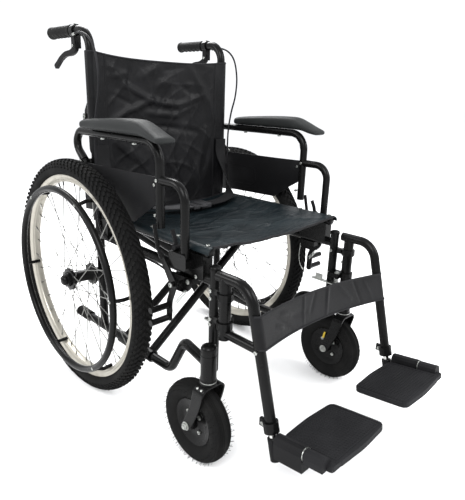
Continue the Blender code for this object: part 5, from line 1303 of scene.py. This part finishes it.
# The lever from its pivot to its tip: y, z and half its width.
LEVER_CURVE = ((0.062, 0.884, 0.0075), (0.066, 0.872, 0.0080), (0.074, 0.864, 0.0085), (0.092, 0.857, 0.0072),
               (0.120, 0.8545, 0.0062), (0.146, 0.845, 0.0060), (0.164, 0.834, 0.0062),
               (0.1765, 0.8265, 0.0066), (0.1800, 0.8240, 0.0045))


def curved_lever(side, name):
    """Brake lever: a blade that thins and widens along its curve, with a rounded tip."""
    path = flowing([at(side * FRAME_X, y, z) for y, z, _ in LEVER_CURVE], 33)
    widths = flowing([Vector((wide, 0, 0)) for _, _, wide in LEVER_CURVE], 33)
    rows = []
    for k, point in enumerate(path):
        ahead = (path[min(k + 1, 32)] - path[max(k - 1, 0)]).normalized()
        across = Vector((0, -ahead.z, ahead.y)) * widths[k].x
        rows.append([point + across * (j / 3 - 1) for j in range(7)])
    blade, _ = cloth(name, rows, 0.0088, 0.0)
    return ease_edges(blade, 0.0028, 3)


def skirt(side, name):
    """Side panel: a flat guard with its cut lower corner, and a pressed bead on both faces."""
    edge = ((0.012, 0.4800, 0.5990), (-0.047, 0.4860, 0.6000), (-0.208, 0.4900, 0.6020),
            (-0.262, 0.5260, 0.6032), (-0.2935, 0.5450, 0.6040))
    rows = [[at(side * ARM_X, y, values[k]) for y, *values in edge] for k in range(2)]
    panel, _ = cloth("panel", rows, 0.0032, 0.0)
    ease_edges(panel, 0.0010, 2)
    beads = []
    for facing in (-1, 1):
        x = side * ARM_X + facing * 0.0014
        corners = [at(x, -0.064, 0.566), at(x, -0.004, 0.567), at(x, -0.004, 0.512), at(x, -0.134, 0.512),
                   at(x, -0.134, 0.565), at(x, -0.060, 0.566)]
        beads.append(piped("bead", bent(corners, [0.010, 0.010, 0.022, 0.022], 8), 0.0011, 2))
    return joined(name, [panel] + beads)


class WHEELCHAIR_OT_hand_and_foot(bpy.types.Operator):
    """Arm pads, push handles, side panels, brake levers and the tread of the foot plates"""
    bl_idname = "wheelchair.hand_and_foot"
    bl_label = "Pads, grips, panels, levers and treads"

    def execute(self, context):
        for word, side in SIDES:
            dress(moulded_pad(side, word + "_moulded_pad"), "pad", word + "_arm", [word + "_arm_pad"], 50)
            dress(notched_grip(side, word + "_notched_grip"), "grip", word + "_cane", [word + "_grip"])
            dress(plate_tread(side, word + "_plate_tread"), "grained", word + "_foot_plate")
            dress(skirt(side, word + "_skirt"), "plastic", word + "_arm", [word + "_side_panel"])
            lever = word + "_attendant_lever"
            dress(curved_lever(side, word + "_curved_lever"), "plastic", lever, [lever])
        return {"FINISHED"}


# ------------------------------------------------------------------ fittings
def side_bolts(side, name):
    """Bolts of the post and upper rail, the lock, the latch's ear and the arm's pivot."""
    outward, inward = (side, 0, 0), (-side, 0, 0)
    stands = [(at(side * (FRAME_X + TUBE_R), y, z), outward)
              for y, z in ((-0.402, HIGH_RAIL_Z), (POST_Y, 0.392), (POST_Y, 0.376), (POST_Y, 0.330),
                           (POST_Y, 0.318), (POST_Y, 0.252))]
    stands += [(at(side * (FRAME_X - TUBE_R), POST_Y, z), inward) for z in (0.392, 0.330)]
    lock = [(at(side * x, y, z), outward)
            for x, y, z in ((0.2650, -0.370, 0.392), (0.2362, -0.338, 0.388), (0.2332, -0.388, 0.396))]
    ear = [(at(side * LATCH_X, LATCH_Y, 0.3362), (0, 0, 1))]
    arm = [(at(side * 0.2530, ARM_PIVOT_Y, ARM_PIVOT_Z), outward)]
    return joined(name, [scatter("small", bolt_head("small", 0.0046, 0.0032, 6, 0.5), stands),
                         scatter("lock", bolt_head("lock", 0.0058, 0.0030, 6, 0.5), lock),
                         scatter("ear", bolt_head("ear", 0.0072, 0.0034, 6), ear),
                         scatter("arm", bolt_head("arm", 0.0066, 0.0030, 24, 0.5), arm)])


def arm_fasteners(side, name):
    """Pad bolts under the tube, the bolt at the loop and the two side panel screws."""
    x = side * ARM_X
    pad = scatter("pad_bolts", bolt_head("pad_bolt", 0.0052, 0.0036, 6),
                  [(at(x, y, 0.6656), (0, 0, -1)) for y in (-0.085, -0.215)])
    stands = both_faces(x, 0.0095, ARM_FRONT_Y, ARM_LOOP_Z)
    for z in (0.586, 0.520):
        stands += both_faces(x, 0.0013, -0.287, z)
    return joined(name, [pad, scatter("screws", bolt_head("screw", 0.0036, 0.0022, 20, 0.45), stands)])


def hanger_fasteners(side, name):
    """Bolts of the hanger strut, the rod clamp and the pin."""
    stands = both_faces(side * HANGER_X, TUBE_R, leg_y(STRUT_Z), STRUT_Z)
    stands += [(at(side * x, -0.6054, 0.1656), (side * way, 0, 0)) for x, way in ((0.2255, 1), (0.2185, -1))]
    stands.append((at(side * HANGER_X, -0.4735, 0.362), (0, 1, 0)))
    return scatter(name, bolt_head("hanger_bolt", 0.0046, 0.0034, 6, 0.5), stands)


def plate_ring(side, name):
    """Silver ring round the foot plate's hinge housing."""
    place, ahead = (plate_place(side * 0.2255, y, HINGE_RISE) for y in (-0.0718, -0.0730))
    ring = turned("ring", [(0.0122, 0.0), (0.0140, 0.0002), (0.0140, 0.0018), (0.0122, 0.0020)],
                  place, ahead - place, 36, closed=True)
    return settle(ring, name)


def seat_screws(side, name):
    """Screws that hold the seat to its rail."""
    stands = [(at(side * FRAME_X, y, 0.4796), (0, 0, 1)) for y in (-0.424, -0.330, -0.236, -0.142, -0.062)]
    return scatter(name, bolt_head("seat_screw", 0.0046, 0.0020, 24, 0.5), stands)


def hinge_heads(side, name):
    """Heads of the cane hinge pin."""
    stands = both_faces(side * FRAME_X, 0.0087, 0.030, 0.7065)
    return scatter(name, bolt_head("hinge_head", 0.0052, 0.0026, 20, 0.5), stands)


def clamp_screws(side, name):
    """Pivot of the brake lever on both faces, and the screw on top of its clamp."""
    stands = both_faces(side * FRAME_X, 0.0090, *LEVER_PIVOT)
    stands.append((at(side * FRAME_X, LEVER_PIVOT[0], CANE_TOP + 0.0148), (0, 0, 1)))
    return scatter(name, bolt_head("clamp_screw", 0.0034, 0.0020, 20, 0.5), stands)


def coil_spring(name, start, end, radius, turns, wire):
    """A wound spring between two places."""
    axis = end - start
    first = axis.orthogonal().normalized()
    second = axis.normalized().cross(first)
    steps = turns * 12
    points = []
    for k in range(steps + 1):
        angle = math.tau * k / 12
        around = first * math.cos(angle) + second * math.sin(angle)
        points.append(start + axis * k / steps + around * radius)
    return piped(name, points, wire, 1)


class WHEELCHAIR_OT_fittings(bpy.types.Operator):
    """Bolts, screws, rings and springs"""
    bl_idname = "wheelchair.fittings"
    bl_label = "Fittings"

    def execute(self, context):
        for word, side in SIDES:
            rail = "brace_a" if side > 0 else "brace_b"
            for make, ending, body in ((side_bolts, "side_bolts", word + "_side"),
                                       (arm_fasteners, "arm_fasteners", word + "_arm"),
                                       (hanger_fasteners, "hanger_fasteners", word + "_leg_rest"),
                                       (plate_ring, "hinge_fasteners", word + "_foot_rod"),
                                       (seat_screws, "seat_screws", rail),
                                       (hinge_heads, "cane_hinge_heads", word + "_side"),
                                       (clamp_screws, "clamp_screws", word + "_cane")):
                dress(make(side, f"{word}_{ending}"), "zinc", body)
            latch = coil_spring(word + "_latch_spring", at(side * LATCH_X, LATCH_Y, 0.3080),
                                at(side * LATCH_X, LATCH_Y, 0.3235), 0.0056, 5, 0.0007)
            dress(latch, "zinc", word + "_side")
            pull = coil_spring(word + "_lock_spring", at(side * 0.2375, -0.385, 0.376),
                               at(side * 0.2375, -0.352, 0.338), 0.0034, 11, 0.0006)
            dress(pull, "zinc", word + "_side")
        return {"FINISHED"}


HOSE_R = 0.0025
WIRE_R = 0.0008
CABLE_LINE = (
    (0.2258, 0.053, 0.896), (0.2258, 0.020, 0.899), (0.2258, -0.016, 0.888), (0.2258, -0.042, 0.862),
    (0.2258, -0.054, 0.815), (0.2258, -0.050, 0.765), (0.2258, -0.034, 0.715), (0.2258, -0.024, 0.660),
    (0.2258, -0.0225, 0.590), (0.2268, -0.0225, 0.520), (0.2288, -0.024, 0.455), (0.2288, -0.050, 0.416),
    (0.2288, -0.110, 0.409), (0.2278, -0.200, 0.406), (0.2278, -0.270, 0.404), (0.2278, -0.321, 0.396),
)
TAIL_LINE = (
    (0.2278, -0.3215, 0.3958), (0.2282, -0.3260, 0.3890), (0.2286, -0.3265, 0.3700),
    (0.2290, -0.3240, 0.3400), (0.2300, -0.3290, 0.3150), (0.2310, -0.3400, 0.3010),
)


def line_length(points):
    """Length of a line through points."""
    return sum((after - before).length for before, after in zip(points, points[1:]))


class WHEELCHAIR_OT_cables(bpy.types.Operator):
    """Brake cables from the handles to the wheel locks, each with its loose wire end"""
    bl_idname = "wheelchair.cables"
    bl_label = "Brake cables"

    def execute(self, context):
        for word, side in SIDES:
            route = flowing([at(side * x, y, z) for x, y, z in CABLE_LINE], 90)
            cable = dress(piped(word + "_brake_hose", route, HOSE_R, 4), "cable", word + "_side",
                          [word + "_brake_cable"], 60)
            round(line_length(route), 4)
            ends = [piped("end", [route[0] - (route[1] - route[0]) * 0.2, route[2]], 0.0032, 4),
                    piped("end", [route[-3], route[-1]], 0.0032, 4)]
            dress(joined(word + "_cable_ferrules", ends), "zinc", word + "_side")
            tail = flowing([at(side * x, y, z) for x, y, z in TAIL_LINE], 24)
            wire = dress(piped(word + "_wire_end", tail, WIRE_R, 2), "zinc", word + "_side", crease=60)
            round(line_length(tail), 4)
        return {"FINISHED"}


class WHEELCHAIR_OT_coat_nodes(bpy.types.Operator):
    """Mix the finishes and put them on the parts that come with the frame"""
    bl_idname = "wheelchair.coat_nodes"
    bl_label = "Finishes"

    def execute(self, context):
        mix_finishes(context.scene.wheelchair_colours)
        for name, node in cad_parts.items():
            key = name.split("_", 1)[1] if name.startswith(("left_", "right_")) else name
            for slot in node.material_slots:
                slot.material = FINISHES[CAD_FINISHES[key]]
        return {"FINISHED"}


# ------------------------------------------------------------------ stage
SKY_COLOUR = (0.97, 0.98, 1.0, 1.0)
SKY_STRENGTH = 1.12
LAMPS = (                   # place, what it is turned to, size and watts
    ((-2.2, -1.6, 2.9), (0, 0, 0.5), 1.8, 110), ((1.6, -2.4, 2.3), (0, 0, 0.5), 1.6, 70),
    ((0.6, 1.9, 2.6), (0, 0, 0.6), 1.5, 90), ((-1.9, 1.2, 1.6), (0, 0, 0.6), 0.9, 26),
)
CAMERA_PLACE = (-0.84147, -1.11878, 0.77445)
CAMERA_TURN = (-45.21728, 17.86426, 1.87162)         # azimuth, elevation and roll, in degrees
CAMERA_LENS = 35.08
FLOOR_R = 40.0


class WHEELCHAIR_OT_stage(bpy.types.Operator):
    """Pale floor, soft studio light and the camera"""
    bl_idname = "wheelchair.stage"
    bl_label = "Stage"

    def execute(self, context):
        start_fresh()
        bpy.ops.mesh.primitive_circle_add(vertices=96, radius=FLOOR_R, fill_type="NGON", location=(0, 0, 0))
        floor = settle(bpy.context.object, "floor")
        paper = Paint("paper", (0.92, 0.92, 0.92), 0.9)
        paper.feed("Roughness", 0.85 + paper.noise(3.0).ramp(0.3, 0.8) * 0.1)
        floor.data.materials.append(paper.material)
        world = context.scene.world or bpy.data.worlds.new("studio")
        context.scene.world = world
        world.use_nodes = True
        sky = world.node_tree.nodes["Background"]
        sky.inputs["Color"].default_value = SKY_COLOUR
        sky.inputs["Strength"].default_value = SKY_STRENGTH
        for place, aim, size, power in LAMPS:
            turn = (Vector(aim) - Vector(place)).to_track_quat("-Z", "Y")
            bpy.ops.object.light_add(type="AREA", location=place, rotation=turn.to_euler())
            lamp = bpy.context.object
            lamp.data.size = size
            lamp.data.energy = power
        azimuth, elevation, roll = (math.radians(a) for a in CAMERA_TURN)
        forward = Vector((-math.sin(azimuth) * math.cos(elevation), math.cos(azimuth) * math.cos(elevation),
                          -math.sin(elevation)))
        right = Vector((math.cos(azimuth), math.sin(azimuth), 0))
        up = right.cross(forward)
        level_right = right * math.cos(roll) + up * math.sin(roll)
        level_up = up * math.cos(roll) - right * math.sin(roll)
        turn = Matrix((level_right, level_up, -forward)).transposed()
        bpy.ops.object.camera_add(location=at(*CAMERA_PLACE), rotation=turn.to_euler())
        camera = bpy.context.object
        camera.data.sensor_width = 36.0
        camera.data.lens = CAMERA_LENS
        camera.data.clip_start = 0.02
        context.scene.camera = camera
        context.scene.view_settings.view_transform = "Standard"
        return {"FINISHED"}


# ------------------------------------------------------------------ panel and registration
class WheelchairColours(bpy.types.PropertyGroup):
    coating: FloatVectorProperty(name="Coating", description="Powder coat of the frame", subtype="COLOR",
                                 default=(0.003, 0.003, 0.003), min=0.0, max=1.0)
    rim: FloatVectorProperty(name="Rim", description="Anodised rims of the rear wheels", subtype="COLOR",
                             default=(0.40, 0.38, 0.33), min=0.0, max=1.0)
    back: FloatVectorProperty(name="Back", description="Nylon of the back and the calf strap",
                              subtype="COLOR", default=(0.003, 0.003, 0.0034), min=0.0, max=1.0)
    seat: FloatVectorProperty(name="Seat", description="Nylon of the seat", subtype="COLOR",
                              default=(0.004, 0.0065, 0.008), min=0.0, max=1.0)


class WheelchairSizes(bpy.types.PropertyGroup):
    tyre_pitches: IntProperty(name="Tyre blocks", description="Blocks round each rear tyre", default=108,
                              min=60, max=140)
    cloth: FloatProperty(name="Cloth", description="Thickness of the seat, back and calf strap",
                         default=0.0020, min=0.001, max=0.004, unit="LENGTH", subtype="DISTANCE")


STEPS = (
    WHEELCHAIR_OT_coat_nodes, WHEELCHAIR_OT_stage, WHEELCHAIR_OT_cables, WHEELCHAIR_OT_wheels,
    WHEELCHAIR_OT_casters, WHEELCHAIR_OT_tubing, WHEELCHAIR_OT_seat, WHEELCHAIR_OT_back,
    WHEELCHAIR_OT_calf_strap, WHEELCHAIR_OT_lap_belt, WHEELCHAIR_OT_hand_and_foot, WHEELCHAIR_OT_fittings,
)


class WHEELCHAIR_PT_panel(bpy.types.Panel):
    """The wheelchair's pieces, in the order in which they are made"""
    bl_idname = "WHEELCHAIR_PT_panel"
    bl_label = "Manual wheelchair"
    bl_space_type = "VIEW_3D"
    bl_region_type = "UI"
    bl_category = "Wheelchair"

    def draw(self, context):
        for group in (context.scene.wheelchair_colours, context.scene.wheelchair_sizes):
            for key in group.__annotations__:
                self.layout.prop(group, key)
        for step in STEPS:
            self.layout.operator(step.bl_idname)


CLASSES = (WheelchairColours, WheelchairSizes) + STEPS + (WHEELCHAIR_PT_panel,)


def register():
    for item in CLASSES:
        bpy.utils.register_class(item)
    bpy.types.Scene.wheelchair_colours = PointerProperty(type=WheelchairColours)
    bpy.types.Scene.wheelchair_sizes = PointerProperty(type=WheelchairSizes)


def unregister():
    del bpy.types.Scene.wheelchair_sizes
    del bpy.types.Scene.wheelchair_colours
    for item in reversed(CLASSES):
        bpy.utils.unregister_class(item)


def main():
    """Make every piece in order."""
    register()
    for step in STEPS:
        group, name = step.bl_idname.split(".")
        getattr(getattr(bpy.ops, group), name)()
    start_fresh()
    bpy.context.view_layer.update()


if __name__ == "__main__":
    main()
